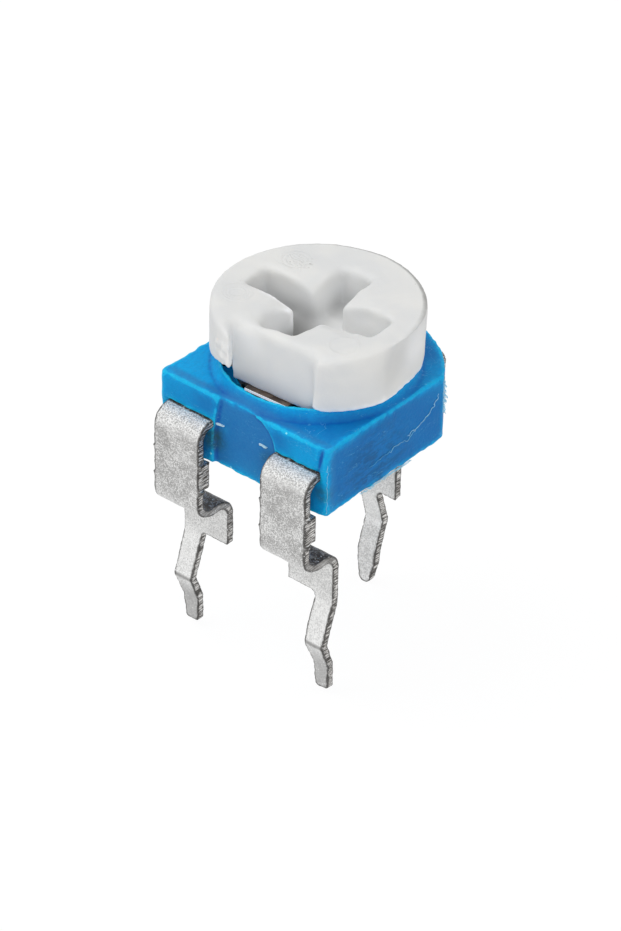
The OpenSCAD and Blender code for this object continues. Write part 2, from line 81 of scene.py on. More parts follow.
# How often a flash thread grows thick and thin, in lumps per millimetre.
THREAD_WAVES = 9.0


class Body(Enum):
    """The two bodies that a piece can ride on."""

    BASE = "base"
    ROTOR = "rotor"


class Slot(Enum):
    """The record's material slots. Nothing in the script uses them."""

    HOUSING = "housing_blue"
    ROTOR = "rotor_white"
    STEEL = "tinned_steel"


# ---------------------------------------------------------------- small tools


def tint(red: float, green: float, blue: float) -> tuple[float, float, float, float]:
    """Turns a display colour into the linear colour that a shader takes.

    Args:
        red: Red from 0 to 255.
        green: Green from 0 to 255.
        blue: Blue from 0 to 255.

    Returns:
        The linear colour with full alpha.
    """
    linear = [
        part / 12.92 if part <= 0.04045 else ((part + 0.055) / 1.055) ** 2.4
        for part in (red / 255, green / 255, blue / 255)
    ]
    return (*linear, 1.0)


def ramp(values: np.ndarray, start: float, width: float) -> np.ndarray:
    """Climbs from 0 at a start to 1 a width further on, and stays there.

    Args:
        values: The numbers to map.
        start: Where the climb starts.
        width: How far it goes on. Below 0, it climbs towards lower numbers.

    Returns:
        One share per number.
    """
    return np.clip((values - start) / width, 0.0, 1.0)


def fade(distances: np.ndarray, reach: float) -> np.ndarray:
    """Falls from 1 at no distance to 0 at the reach.

    Args:
        distances: The distances to map.
        reach: Where nothing is left.

    Returns:
        One share per distance.
    """
    return np.clip(1.0 - distances / reach, 0.0, 1.0)


def deselect_all() -> None:
    """Leaves object mode clean, with nothing selected."""
    if bpy.context.object is not None and bpy.context.object.mode != "OBJECT":
        bpy.ops.object.mode_set(mode="OBJECT")
    bpy.ops.object.select_all(action="DESELECT")


def take(piece: bpy.types.Object) -> None:
    """Makes a piece the only selected one, and the active one.

    Args:
        piece: The piece that the next operators act on.
    """
    deselect_all()
    piece.select_set(True)
    bpy.context.view_layer.objects.active = piece


def apply_modifier(piece: bpy.types.Object, kind: str, **settings: object) -> None:
    """Adds a modifier to a piece and applies it.

    Args:
        piece: The piece to change.
        kind: Blender's name for the kind of modifier.
        **settings: The modifier's own settings.
    """
    take(piece)
    modifier = piece.modifiers.new(kind.title(), kind)
    for name, value in settings.items():
        setattr(modifier, name, value)
    bpy.ops.object.modifier_apply(modifier=modifier.name)


def set_down(piece: bpy.types.Object, material: bpy.types.Material, body: Body) -> None:
    """Brings a piece worked in millimetres to metres, and puts it on its body.

    Args:
        piece: The finished piece, at the origin and unturned.
        material: The finish for the whole piece.
        body: The body that it rides on.
    """
    take(piece)
    bpy.ops.object.transform_apply(location=True, rotation=True, scale=True)
    piece.data.transform(Matrix.Scale(MM, 4))
    piece.data.materials.clear()
    piece.data.materials.append(material)
    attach(piece, body.value)
    LOG.info("%s: %d faces on %s", piece.name, len(piece.data.polygons), body.value)


# ------------------------------------------------------------- mesh refinement


class PointCloud:
    """The points of a mesh as arrays, for work that touches all of them."""

    def __init__(self, mesh: bpy.types.Mesh) -> None:
        """Reads a mesh's points, normals and edges.

        Args:
            mesh: The mesh to read.
        """
        self.mesh = mesh
        self.count = len(mesh.vertices)
        self.points = self._read(mesh.vertices, "co", 3)
        self.normals = self._read(mesh.vertices, "normal", 3)
        ends = np.empty(len(mesh.edges) * 2, dtype=np.int32)
        mesh.edges.foreach_get("vertices", ends)
        self.ends = ends.reshape(-1, 2)

    @staticmethod
    def _read(source: bpy.types.bpy_prop_collection, name: str, width: int) -> np.ndarray:
        """Reads one property of every vertex.

        Args:
            source: The mesh's vertices.
            name: The property's name.
            width: How many numbers it has per vertex.

        Returns:
            One row per vertex.
        """
        values = np.empty(len(source) * width, dtype=np.float32)
        source.foreach_get(name, values)
        return values.reshape(-1, width).astype(np.float64)

    def relaxed(self, rounds: int) -> np.ndarray:
        """Moves each point to the mean of its neighbours, again and again.

        Args:
            rounds: How many times.

        Returns:
            The relaxed points. The mesh isn't changed.
        """
        first, second = self.ends.T
        size = self.count
        degree = np.bincount(first, minlength=size) + np.bincount(second, minlength=size)
        degree = np.maximum(degree, 1)[:, None]
        points = self.points.copy()
        for _ in range(rounds):
            total = np.empty_like(points)
            for axis in range(3):
                values = points[:, axis]
                total[:, axis] = np.bincount(first, weights=values[second], minlength=size)
                total[:, axis] += np.bincount(second, weights=values[first], minlength=size)
            points = total / degree
        return points

    def standing(self, rounds: int) -> np.ndarray:
        """Measures how far each point stands out of its surroundings.

        Args:
            rounds: How far the surroundings reach, as rounds of relaxing.

        Returns:
            One height per point, below 0 where the surface is hollow.
        """
        return ((self.points - self.relaxed(rounds)) * self.normals).sum(axis=1)

    def store(self, name: str, values: np.ndarray) -> None:
        """Keeps one number per point as an attribute of the mesh.

        Args:
            name: The attribute's name.
            values: One number per point.
        """
        attribute = self.mesh.attributes.new(name, "FLOAT", "POINT")
        attribute.data.foreach_set("value", values.astype(np.float32))

    def move_to(self, points: np.ndarray) -> None:
        """Puts the mesh's points somewhere else.

        Args:
            points: One row per point.
        """
        self.mesh.vertices.foreach_set("co", points.astype(np.float32).ravel())
        self.mesh.update()
        self.points = points


def distance_to_stretch(points: np.ndarray, start: Point, end: Point) -> np.ndarray:
    """Measures how far points lie from a straight stretch.

    Args:
        points: One row per point.
        start: Where the stretch starts.
        end: Where the stretch ends.

    Returns:
        One distance per point.
    """
    first = np.array(start)
    along = np.array(end) - first
    share = np.clip((points - first) @ along / max(along @ along, 1e-9), 0.0, 1.0)
    return np.linalg.norm(points - first - share[:, None] * along, axis=1)


@dataclass(frozen=True)
class SoftZone:
    """A stretch along which a moulding's edges are rounder than elsewhere."""

    start: Point
    end: Point
    radius: float
    rounds: int

    def weight(self, points: np.ndarray) -> np.ndarray:
        """Tells how much each point belongs to the stretch.

        Args:
            points: One row per point, in millimetres.

        Returns:
            1 near the middle line, falling to 0 at the radius.
        """
        off = distance_to_stretch(points, self.start, self.end)
        return np.clip(ZONE_GAIN - ZONE_GAIN * off / self.radius, 0.0, 1.0)


@dataclass(frozen=True)
class Push:
    """A stretch along which a surface is drawn a little way in one direction."""

    start: Point
    end: Point
    radius: float
    shift: Point

    def moved(self, points: np.ndarray) -> np.ndarray:
        """Draws the points near the stretch along.

        Args:
            points: One row per point, in millimetres.

        Returns:
            The points in their new places.
        """
        share = fade(distance_to_stretch(points, self.start, self.end), self.radius)
        smooth = share * share * (3.0 - 2.0 * share)
        return points + smooth[:, None] * np.array(self.shift)


@dataclass
class Refinement:
    """How a frame solid is copied and given soft edges."""

    voxel: float
    soften: int
    edge_rounds: int = 10
    edge_full: float = 0.03
    glow_rounds: int = 0
    glow_full: float = 0.07

    def refine(self, node: str, name: str, zones: tuple[SoftZone, ...] = (),
               pushes: tuple[Push, ...] = ()) -> bpy.types.Object:
        """Copies one frame solid into a new piece with rounded edges.

        Args:
            node: The frame solid's name.
            name: The new piece's name.
            zones: Places that are rounder than the rest.
            pushes: Places that are drawn along before they are rounded.

        Returns:
            The piece, in millimetres.
        """
        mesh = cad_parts[node].data.copy()
        mesh.name = name
        mesh.transform(Matrix.Scale(1 / MM, 4))
        piece = bpy.data.objects.new(name, mesh)
        bpy.context.collection.objects.link(piece)
        take(piece)
        bpy.ops.object.mode_set(mode="EDIT")
        bpy.ops.mesh.select_all(action="SELECT")
        bpy.ops.mesh.remove_doubles(threshold=MERGE_GAP)
        bpy.ops.object.mode_set(mode="OBJECT")
        apply_modifier(piece, "REMESH", mode="VOXEL", voxel_size=self.voxel, adaptivity=0.0)
        apply_modifier(piece, "SMOOTH", factor=0.5, iterations=self.soften)
        cloud = PointCloud(piece.data)
        points = cloud.points
        for push in pushes:
            points = push.moved(points)
        cloud.move_to(points)
        for zone in zones:
            self.round_off(piece, zone)
        return piece

    @staticmethod
    def round_off(piece: bpy.types.Object, zone: SoftZone) -> None:
        """Rounds a piece's edges further along one stretch.

        Args:
            piece: The piece, in millimetres.
            zone: Where, and how much.
        """
        weight = zone.weight(PointCloud(piece.data).points)
        group = piece.vertex_groups.new(name="soft_zone")
        for index in np.nonzero(weight > 0.0)[0]:
            group.add([int(index)], float(weight[index]), "REPLACE")
        apply_modifier(piece, "SMOOTH", factor=0.5, iterations=zone.rounds, vertex_group=group.name)
        piece.vertex_groups.clear()

    def roughen(self, piece: bpy.types.Object, depth: float, scale: float, edge_depth: float,
                edge_scale: float) -> None:
        """Makes a piece's faces slightly uneven, and its edges more so.

        Args:
            piece: The piece, in millimetres.
            depth: How far its faces stand out or sink in.
            scale: Lumps per millimetre on the faces.
            edge_depth: How far its outer edges stand out or sink in.
            edge_scale: Lumps per millimetre along the edges.
        """
        cloud = PointCloud(piece.data)
        rim = ramp(cloud.standing(self.edge_rounds), 0.0, self.edge_full)
        slow = np.array([noise.noise(Vector(point) * scale) for point in cloud.points])
        fast = np.array([noise.noise(Vector(point) * edge_scale) for point in cloud.points])
        shift = slow * depth + fast * rim * edge_depth
        cloud.move_to(cloud.points + cloud.normals * shift[:, None])

    def measure(self, piece: bpy.types.Object) -> PointCloud:
        """Stores how far each point stands out of its surroundings, or sinks in.

        Args:
            piece: The piece, in millimetres, in its final shape.

        Returns:
            The piece's points, for further measures.
        """
        cloud = PointCloud(piece.data)
        edge = cloud.standing(self.edge_rounds) / self.edge_full
        cloud.store("edge", np.clip(edge, -1.0, 1.0))
        # The glow map guides painted light along a housing's outer edges.
        if self.glow_rounds:
            glow = cloud.standing(self.glow_rounds) / self.glow_full
            cloud.store("glow", np.clip(glow, -1.0, 1.0))
        take(piece)
        bpy.ops.object.shade_smooth()
        return cloud


# ------------------------------------------------------------------ node tools


class Graph:
    """Adds nodes to one node tree, and joins them."""

    def __init__(self, tree: bpy.types.NodeTree) -> None:
        """Takes the tree to build in.

        Args:
            tree: A material's, a world's or a group's node tree.
        """
        self.tree = tree

    def add(self, kind: str, **settings: object) -> bpy.types.Node:
        """Adds one node.

        Args:
            kind: The node's type, without the ShaderNode prefix.
            **settings: The node's own settings.

        Returns:
            The new node.
        """
        node = self.tree.nodes.new(f"ShaderNode{kind}")
        for name, value in settings.items():
            setattr(node, name, value)
        return node

    def feed(self, socket: Socket, value: object) -> None:
        """Joins a socket to another one, or writes a value on it.

        Args:
            socket: The input to fill.
            value: An output socket, a number, a vector or a colour.
        """
        if isinstance(value, Socket):
            self.tree.links.new(value, socket)
        else:
            socket.default_value = value

    def maths(self, operation: str, first: object, second: object = None,
              third: object = None, clamp: bool = False) -> Socket:
        """Adds one Math node.

        Args:
            operation: Blender's name for the operation.
            first: A number or an output socket.
            second: The same, where the operation takes it.
            third: The same, where the operation takes it.
            clamp: Whether the result stays from 0 to 1.

        Returns:
            The node's output.
        """
        node = self.add("Math", operation=operation, use_clamp=clamp)
        for index, value in enumerate((first, second, third)):
            if value is not None:
                self.feed(node.inputs[index], value)
        return node.outputs[0]

    def times(self, *values: object) -> Socket:
        """Multiplies two or more values.

        Args:
            *values: Numbers and output sockets.

        Returns:
            Their product.
        """
        return self._chain("MULTIPLY", values)

    def most(self, *values: object) -> Socket:
        """Takes the largest of two or more values.

        Args:
            *values: Numbers and output sockets.

        Returns:
            The largest.
        """
        return self._chain("MAXIMUM", values)

    def _chain(self, operation: str, values: tuple[object, ...]) -> Socket:
        """Joins values by one operation, from the first to the last.

        Args:
            operation: Blender's name for the operation.
            values: Numbers and output sockets.

        Returns:
            The last node's output.
        """
        total = values[0]
        for value in values[1:]:
            total = self.maths(operation, total, value)
        return total

    def span(self, value: object, low: float, high: float, out_low: float = 0.0,
             out_high: float = 1.0) -> Socket:
        """Maps a range of values onto another one, smoothly and clamped.

        Args:
            value: The socket to map.
            low: Where the range starts.
            high: Where it ends.
            out_low: What the start becomes.
            out_high: What the end becomes.

        Returns:
            The mapped value.
        """
        node = self.add("MapRange", interpolation_type="SMOOTHSTEP")
        for index, entry in enumerate((value, low, high, out_low, out_high)):
            self.feed(node.inputs[index], entry)
        return node.outputs[0]

    def blend(self, share: object, first: object, second: object) -> Socket:
        """Mixes two colours.

        Args:
            share: How much of the second colour shows.
            first: A linear colour or an output socket.
            second: A linear colour or an output socket.

        Returns:
            The mixed colour.
        """
        node = self.add("Mix", data_type="RGBA")
        self.feed(node.inputs["Factor"], share)
        self.feed(node.inputs[6], first)
        self.feed(node.inputs[7], second)
        return node.outputs[2]

    def paint(self, under: object, share: object, over: Colour) -> Socket:
        """Lays a display colour over another colour.

        Args:
            under: A linear colour or an output socket.
            share: How much of the new colour shows.
            over: The new colour's red, green and blue, from 0 to 255.

        Returns:
            The mixed colour.
        """
        return self.blend(share, under, tint(*over))

    def place(self, size: Point = (1.0, 1.0, 1.0), offset: Point = (0.0, 0.0, 0.0)) -> Socket:
        """Gives the place on the piece, in millimetres.

        Args:
            size: Stretch of the pattern along each axis.
            offset: Move of the pattern along each axis, in millimetres.

        Returns:
            The vector for a texture.
        """
        coordinate = self.add("TexCoord")
        mapping = self.add("Mapping")
        self.feed(mapping.inputs["Vector"], coordinate.outputs["Object"])
        mapping.inputs["Location"].default_value = offset
        mapping.inputs["Scale"].default_value = tuple(value / MM for value in size)
        return mapping.outputs[0]

    def noise(self, vector: object, scale: object, detail: float = 3.0,
              roughness: float = 0.55, distortion: float = 0.0) -> Socket:
        """Adds a noise texture.

        Args:
            vector: The place, in millimetres.
            scale: Lumps per millimetre.
            detail: How many finer layers it has.
            roughness: How strong the finer layers are.
            distortion: How much it swirls.

        Returns:
            The noise, about 0.5 on average.
        """
        node = self.add("TexNoise")
        self.feed(node.inputs["Vector"], vector)
        self.feed(node.inputs["Scale"], scale)
        node.inputs["Detail"].default_value = detail
        node.inputs["Roughness"].default_value = roughness
        node.inputs["Distortion"].default_value = distortion
        return node.outputs[0]

    def attribute(self, name: str) -> Socket:
        """Reads one number that the mesh carries.

        Args:
            name: The attribute's name.

        Returns:
            The number.
        """
        return self.add("Attribute", attribute_name=name).outputs["Fac"]

    def axis(self, vector: object, letter: str) -> Socket:
        """Takes one part of a vector.

        Args:
            vector: The vector's output socket.
            letter: X, Y or Z.

        Returns:
            That part.
        """
        node = self.add("SeparateXYZ")
        self.feed(node.inputs[0], vector)
        return node.outputs[letter]

    def distance(self, place: Socket, point: Point) -> Socket:
        """Measures the distance from a point.

        Args:
            place: The place on the piece, in millimetres.
            point: The point to measure from, in millimetres.

        Returns:
            The distance in millimetres.
        """
        node = self.add("VectorMath", operation="DISTANCE")
        self.feed(node.inputs[0], place)
        self.feed(node.inputs[1], point)
        return node.outputs["Value"]

    def reach(self, place: Socket) -> Socket:
        """Measures the distance from the upright axis.

        Args:
            place: The place on the piece, in millimetres.

        Returns:
            The distance in millimetres.
        """
        flat = self.add("VectorMath", operation="MULTIPLY")
        self.feed(flat.inputs[0], place)
        self.feed(flat.inputs[1], (1.0, 1.0, 0.0))
        length = self.add("VectorMath", operation="LENGTH")
        self.feed(length.inputs[0], flat.outputs[0])
        return length.outputs["Value"]


class Effects:
    """Node groups that several finishes share, each built once."""

    def __init__(self) -> None:
        """Builds all of the groups."""
        self.edges = self._edges()
        self.grain = self._grain()
        self.specks = self._specks()
        self.scuffs = self._scuffs()

    @staticmethod
    def _begin(name: str, inputs: dict[str, object], outputs: tuple[str, ...]
               ) -> tuple[bpy.types.NodeTree, Graph, bpy.types.Node, bpy.types.Node]:
        """Starts a group with named sockets.

        Args:
            name: The group's name.
            inputs: Each input's name and its first value; None is a vector.
            outputs: The names of the outputs, all plain numbers.

        Returns:
            The tree, its graph, the input node and the output node.
        """
        tree = bpy.data.node_groups.new(name, "ShaderNodeTree")
        for label, value in inputs.items():
            kind = "NodeSocketVector" if value is None else "NodeSocketFloat"
            socket = tree.interface.new_socket(label, in_out="INPUT", socket_type=kind)
            if value is not None:
                socket.default_value = value
        for label in outputs:
            tree.interface.new_socket(label, in_out="OUTPUT", socket_type="NodeSocketFloat")
        start = tree.nodes.new("NodeGroupInput")
        end = tree.nodes.new("NodeGroupOutput")
        return tree, Graph(tree), start, end

    def _edges(self) -> bpy.types.NodeTree:
        """Builds the group that finds outer edges and inner corners.

        Returns:
            The group, with outputs Edge and Hollow.
        """
        tree, graph, start, end = self._begin(
            "Edges and hollows", {"Place": None, "Break Scale": 6.0, "Break": 0.4},
            ("Edge", "Hollow"))
        stand = graph.attribute("edge")
        lumps = graph.noise(start.outputs["Place"], start.outputs["Break Scale"])
        gain = graph.maths("MULTIPLY_ADD", graph.maths("SUBTRACT", lumps, 0.5),
                           graph.times(start.outputs["Break"], 2.0), 1.0)
        uneven = graph.times(stand, gain)
        graph.feed(end.inputs["Edge"], graph.span(uneven, 0.08, 0.9))
        graph.feed(end.inputs["Hollow"], graph.span(graph.times(uneven, -1.0), 0.08, 0.9))
        return tree

    def _grain(self) -> bpy.types.NodeTree:
        """Builds the group for fine surface grain over a slow cloudiness.

        Returns:
            The group, with outputs Height and Cloud.
        """
        tree, graph, start, end = self._begin(
            "Surface grain", {"Place": None, "Grain Scale": 30.0, "Cloud Scale": 0.8},
            ("Height", "Cloud"))
        height = graph.noise(start.outputs["Place"], start.outputs["Grain Scale"], 4.0, 0.6)
        graph.feed(end.inputs["Height"], height)
        cloud = graph.noise(start.outputs["Place"], start.outputs["Cloud Scale"], 2.0, 0.5, 0.6)
        graph.feed(end.inputs["Cloud"], graph.span(cloud, 0.3, 0.7))
        return tree

    def _specks(self) -> bpy.types.NodeTree:
        """Builds the group for sparse round specks.

        Returns:
            The group, with the output Speck.
        """
        tree, graph, start, end = self._begin(
            "Specks", {"Place": None, "Per Millimetre": 3.0, "Size": 0.12, "Share": 0.3},
            ("Speck",))
        cells = graph.add("TexVoronoi")
        graph.feed(cells.inputs["Vector"], start.outputs["Place"])
        graph.feed(cells.inputs["Scale"], start.outputs["Per Millimetre"])
        near = graph.maths("LESS_THAN", cells.outputs["Distance"], start.outputs["Size"])
        draw = graph.add("SeparateColor")
        graph.feed(draw.inputs[0], cells.outputs["Color"])
        chosen = graph.maths("LESS_THAN", draw.outputs[0], start.outputs["Share"])
        graph.feed(end.inputs["Speck"], graph.times(near, chosen))
        return tree

    def _scuffs(self) -> bpy.types.NodeTree:
        """Builds the group for thin rubbed streaks.

        Returns:
            The group, with the output Scuff.
        """
        tree, graph, start, end = self._begin(
            "Scuffs", {"Place": None, "Streak Scale": 3.0, "Fineness": 0.02, "Patchiness": 0.5},
            ("Scuff",))
        streak = graph.noise(start.outputs["Place"], start.outputs["Streak Scale"], 3.0, 0.6, 0.4)
        off = graph.maths("ABSOLUTE", graph.maths("SUBTRACT", streak, 0.5))
        line = graph.maths("LESS_THAN", off, start.outputs["Fineness"])
        patch = graph.noise(start.outputs["Place"], 1.1, 2.0)
        keep = graph.maths("GREATER_THAN", patch, start.outputs["Patchiness"])
        graph.feed(end.inputs["Scuff"], graph.times(line, keep))
        return tree


def use(graph: Graph, group: bpy.types.NodeTree, **values: object) -> bpy.types.Node:
    """Places a shared group in a material, with its own values.

    Args:
        graph: The material's graph.
        group: The shared group.
        **values: Input values; an underscore stands for a space in the name.

    Returns:
        The group's node.
    """
    node = graph.add("Group", node_tree=group)
    for name, value in values.items():
        graph.feed(node.inputs[name.replace("_", " ")], value)
    return node


def start_material(name: str) -> tuple[bpy.types.Material, Graph, bpy.types.Node]:
    """Makes a material that holds just one Principled shader.

    Args:
        name: The material's name.

    Returns:
        The material, its graph and its shader node.
    """
    material = bpy.data.materials.new(name)
    material.use_nodes = True
    graph = Graph(material.node_tree)
    shader = material.node_tree.nodes["Principled BSDF"]
    return material, graph, shader


def set_sockets(shader: bpy.types.Node, **values: object) -> None:
    """Writes constants straight on a shader's sockets.

    Args:
        shader: The Principled shader.
        **values: Socket names, an underscore for each space, and their values.
    """
    for name, value in values.items():
        shader.inputs[name.replace("_", " ")].default_value = value


def vary_roughness(graph: Graph, shader: bpy.types.Node, height: Socket, lowest: float,
                   spread: float) -> None:
    """Makes a shader's roughness follow the grain.

    Args:
        graph: The material's graph.
        shader: The Principled shader.
        height: The grain's height, about 0 to 1.
        lowest: The roughness where the height is 0.
        spread: How much rougher it is where the height is 1.
    """
    graph.feed(shader.inputs["Roughness"], graph.maths("MULTIPLY_ADD", height, spread, lowest))


def bump(graph: Graph, shader: bpy.types.Node, height: Socket, depth: float) -> None:
    """Gives a shader relief from a height.

    Args:
        graph: The material's graph.
        shader: The Principled shader.
        height: The height, about 0 to 1.
        depth: What a height of 1 stands for, in millimetres.
    """
    node = graph.add("Bump")
    node.inputs["Distance"].default_value = depth * MM
    graph.feed(node.inputs["Height"], height)
    graph.feed(shader.inputs["Normal"], node.outputs[0])


# -------------------------------------------------------------------- finishes


@dataclass(frozen=True)
class Patch:
    """A soft round patch on a finish, by its middle, its radius and its weight."""

    centre: Point
    radius: float
    weight: float

    def mask(self, graph: Graph, place: Socket) -> Socket:
        """Makes the patch's mask.

        Args:
            graph: The material's graph.
            place: The place on the piece, in millimetres.

        Returns:
            The weight in the middle, and 0 outside the radius.
        """
        off = graph.distance(place, self.centre)
        return graph.span(off, self.radius, self.radius * PATCH_CORE, 0.0, self.weight)


@dataclass(frozen=True)
class HousingPlastic:
    """Blue moulded plastic. Light and shade are painted into its colour: paler patches, a paler
    collar and pale edges where light falls on it or shines through thin plastic, and painted shade
    in its inner corners, on its right side and beside the terminals.
    """

    main: Colour = (14, 121, 191)
    # Besides the plastic's own tones: deep paints shade in the inner corners, pale paints light,
    # grey and shade paint shade on the right side, and rim paints highlights.
    deep: Colour = (0, 84, 176)
    pale: Colour = (0, 172, 234)
    grey: Colour = (26, 110, 180)
    rim: Colour = (30, 198, 244)
    fleck: Colour = (140, 225, 248)
    # Painted light on the recessed front panel.
    painted_panel_light: Colour = (46, 128, 190)
    torn: Colour = (160, 220, 248)
    shade: Colour = (20, 92, 146)
    painted_terminal_shadow: Colour = (46, 88, 92)
    collar_z: Band = (5.62, 5.95)
    side_x: Band = (3.02, 3.09)
    panel_front_y: Band = (-3.15, -3.11)
    panel_back_y: Band = (-2.7, -2.95)
    rim_x: Band = (2.0, 3.0)
    cloud_weight: float = 0.22
    collar_weight: float = 0.9
    side_weight: float = 0.55
    panel_weight: float = 0.75
    hollow_weight: float = 0.85
    glow_weight: float = 0.75
    rim_weight: float = 0.75
    side_rim_weight: float = 0.6
    fine_weight: float = 0.22
    scuff_weight: float = 0.25
    roughness: float = 0.5
    # Painted light: patches where light falls on the plastic or shines through it.
    painted_light_patches: tuple[Patch, ...] = (
        Patch((2.3, -3.5, 5.0), 1.3, 0.9),
        Patch((-3.0, -2.2, 5.8), 2.2, 0.8),
        Patch((-1.9, -2.5, 5.9), 0.9, 0.75),
        Patch((-2.4, -1.0, 5.9), 2.4, 0.8),
        Patch((2.9, 1.8, 5.7), 1.3, 0.5),
        Patch((2.95, -3.1, 3.5), 0.8, 0.5),
        Patch((0.1, -3.07, 3.2), 1.1, 0.8),
        Patch((-0.78, -3.07, 4.55), 0.22, 0.8),
    )
    dim_side: Patch = Patch((3.10, -1.10, 3.90), 2.20, 0.80)
    # Painted shadow and reflection of the terminals, beside them on the front.
    terminal_shadow_patches: tuple[Patch, ...] = (
        Patch((-1.22, -3.07, 4.12), 0.66, 0.85),
        Patch((2.92, -3.18, 4.1), 0.45, 0.5),
        Patch((0.82, -3.07, 4.25), 0.40, 0.35),
    )

    def build(self, effects: Effects) -> bpy.types.Material:
        """Builds the material.

        Args:
            effects: The shared groups.

        Returns:
            The material.
        """
        material, graph, shader = start_material("housing_plastic")
        place = graph.place()
        grain = use(graph, effects.grain, Place=place, Grain_Scale=9.0, Cloud_Scale=0.6)
        edges = use(graph, effects.edges, Place=place, Break_Scale=5.0, Break=0.5)
        colour = self._moulded(graph, place, grain.outputs["Cloud"])
        colour = self._edged(graph, place, edges, colour)
        colour = self._grained_and_shaded(graph, place, colour)
        colour = self._marked(graph, place, effects, edges.outputs["Edge"], colour)
        graph.feed(shader.inputs["Base Color"], colour)
        vary_roughness(graph, shader, grain.outputs["Height"], self.roughness - 0.1, 0.2)
        set_sockets(shader, Subsurface_Weight=0.3, Subsurface_Radius=(0.2, 0.8, 1.2),
                    Subsurface_Scale=0.3 * MM, IOR=1.48, Specular_IOR_Level=0.14)
        bump(graph, shader, grain.outputs["Height"], 0.014)
        return material

    def _moulded(self, graph: Graph, place: Socket, cloud: Socket) -> Socket:
        """Colours the plastic itself, with painted light on the patches, the collar and the front
        panel, and painted shade on the right side.

        Args:
            graph: The material's graph.
            place: The place on the piece, in millimetres.
            cloud: Slow cloudiness from 0 to 1.

        Returns:
            The colour.
        """
        pale = graph.times(cloud, self.cloud_weight)
        # Painted light from the patches and on the collar, over the plastic's own cloudiness.
        for patch in self.painted_light_patches:
            pale = graph.maths("ADD", pale, patch.mask(graph, place))
        # Painted light: the collar grows paler towards its lip.
        collar = graph.span(graph.axis(place, "Z"), *self.collar_z, 0.0, self.collar_weight)
        pale = graph.maths("ADD", pale, collar, clamp=True)
        colour = graph.blend(pale, tint(*self.main), tint(*self.pale))
        # Painted shade: the right side is painted greyer and darker.
        side = graph.span(graph.axis(place, "X"), *self.side_x, 0.0, self.side_weight)
        colour = graph.paint(colour, side, self.grey)
        # Painted light: the recessed front panel is painted lighter.
        depth = graph.axis(place, "Y")
        panel = graph.times(graph.span(depth, *self.panel_front_y),
                            graph.span(depth, *self.panel_back_y), self.panel_weight)
        return graph.paint(colour, panel, self.painted_panel_light)

    def _edged(self, graph: Graph, place: Socket, edges: bpy.types.Node,
               colour: Socket) -> Socket:
        """Paints shade into the inner corners, and painted light and highlights along the outer
        ones.

        Args:
            graph: The material's graph.
            place: The place on the piece, in millimetres.
            edges: The group that finds the corners.
            colour: The colour so far.

        Returns:
            The colour.
        """
        # Painted shade in the inner corners.
        hollow = graph.times(edges.outputs["Hollow"], self.hollow_weight)
        colour = graph.paint(colour, hollow, self.deep)
        # Painted light along the outer edges, as if shining through thin plastic.
        uneven = graph.span(graph.noise(place, 4.0, 3.0, 0.7), 0.3, 0.65, 0.4, 1.0)
        glow = graph.span(graph.attribute("glow"), 0.08, 0.95, 0.0, self.glow_weight)
        colour = graph.paint(colour, graph.times(glow, uneven), self.pale)
        # Painted highlights on the outer edges, weaker on the right side.
        rim = graph.times(
            graph.span(edges.outputs["Edge"], 0.35, 1.0, 0.0, self.rim_weight),
            graph.span(graph.axis(place, "X"), *self.rim_x, 1.0, self.side_rim_weight))
        return graph.paint(colour, rim, self.rim)

    def _grained_and_shaded(self, graph: Graph, place: Socket, colour: Socket) -> Socket:
        """Adds fine dark grain, painted shade on the lower right side, and the painted shadow and
        reflection of the terminals beside them.

        Args:
            graph: The material's graph.
            place: The place on the piece, in millimetres.
            colour: The colour so far.

        Returns:
            The colour.
        """
        fine = graph.noise(graph.place((1.0, 0.6, 1.6)), 11.0, 4.0, 0.75)
        colour = graph.paint(colour, graph.span(fine, 0.35, 0.65, 0.0, self.fine_weight), self.deep)
        long = graph.noise(graph.place((1.0, 0.5, 1.5)), 3.5, 4.0, 0.75, 0.4)
        dim = graph.times(self.dim_side.mask(graph, place), graph.span(long, 0.42, 0.6))
        colour = graph.paint(colour, dim, self.shade)
        # Painted shadow and reflection of the terminals, made patchy.
        painted_terminal_shadow = graph.most(*(patch.mask(graph, place) for patch in self.terminal_shadow_patches))
        mottle = graph.span(graph.noise(place, 5.0, 3.0, 0.7), 0.3, 0.6, 0.35, 1.0)
        return graph.paint(colour, graph.times(painted_terminal_shadow, mottle), self.painted_terminal_shadow)

    def _marked(self, graph: Graph, place: Socket, effects: Effects, edge: Socket,
                colour: Socket) -> Socket:
        """Adds pale flecks along the edges, scratches, and the white of torn plastic.

        Args:
            graph: The material's graph.
            place: The place on the piece, in millimetres.
            effects: The shared groups.
            edge: How much each point is an outer corner.
            colour: The colour so far.

        Returns:
            The colour.
        """
        specks = use(graph, effects.specks, Place=place, Per_Millimetre=3.2, Size=0.13, Share=0.3)
        streaks = use(graph, effects.scuffs, Place=graph.place((1.0, 0.5, 2.5)),
                      Streak_Scale=1.6, Fineness=0.004, Patchiness=0.56)
        marks = graph.most(graph.times(edge, specks.outputs["Speck"]),
                           graph.times(streaks.outputs["Scuff"], self.scuff_weight))
        colour = graph.paint(colour, marks, self.fleck)
        return graph.paint(colour, graph.attribute("flash"), self.torn)


@dataclass(frozen=True)
class PinMark:
    """A shallow ring that an ejector pin left on the rotor's face."""

    x: float
    y: float
    radius: float


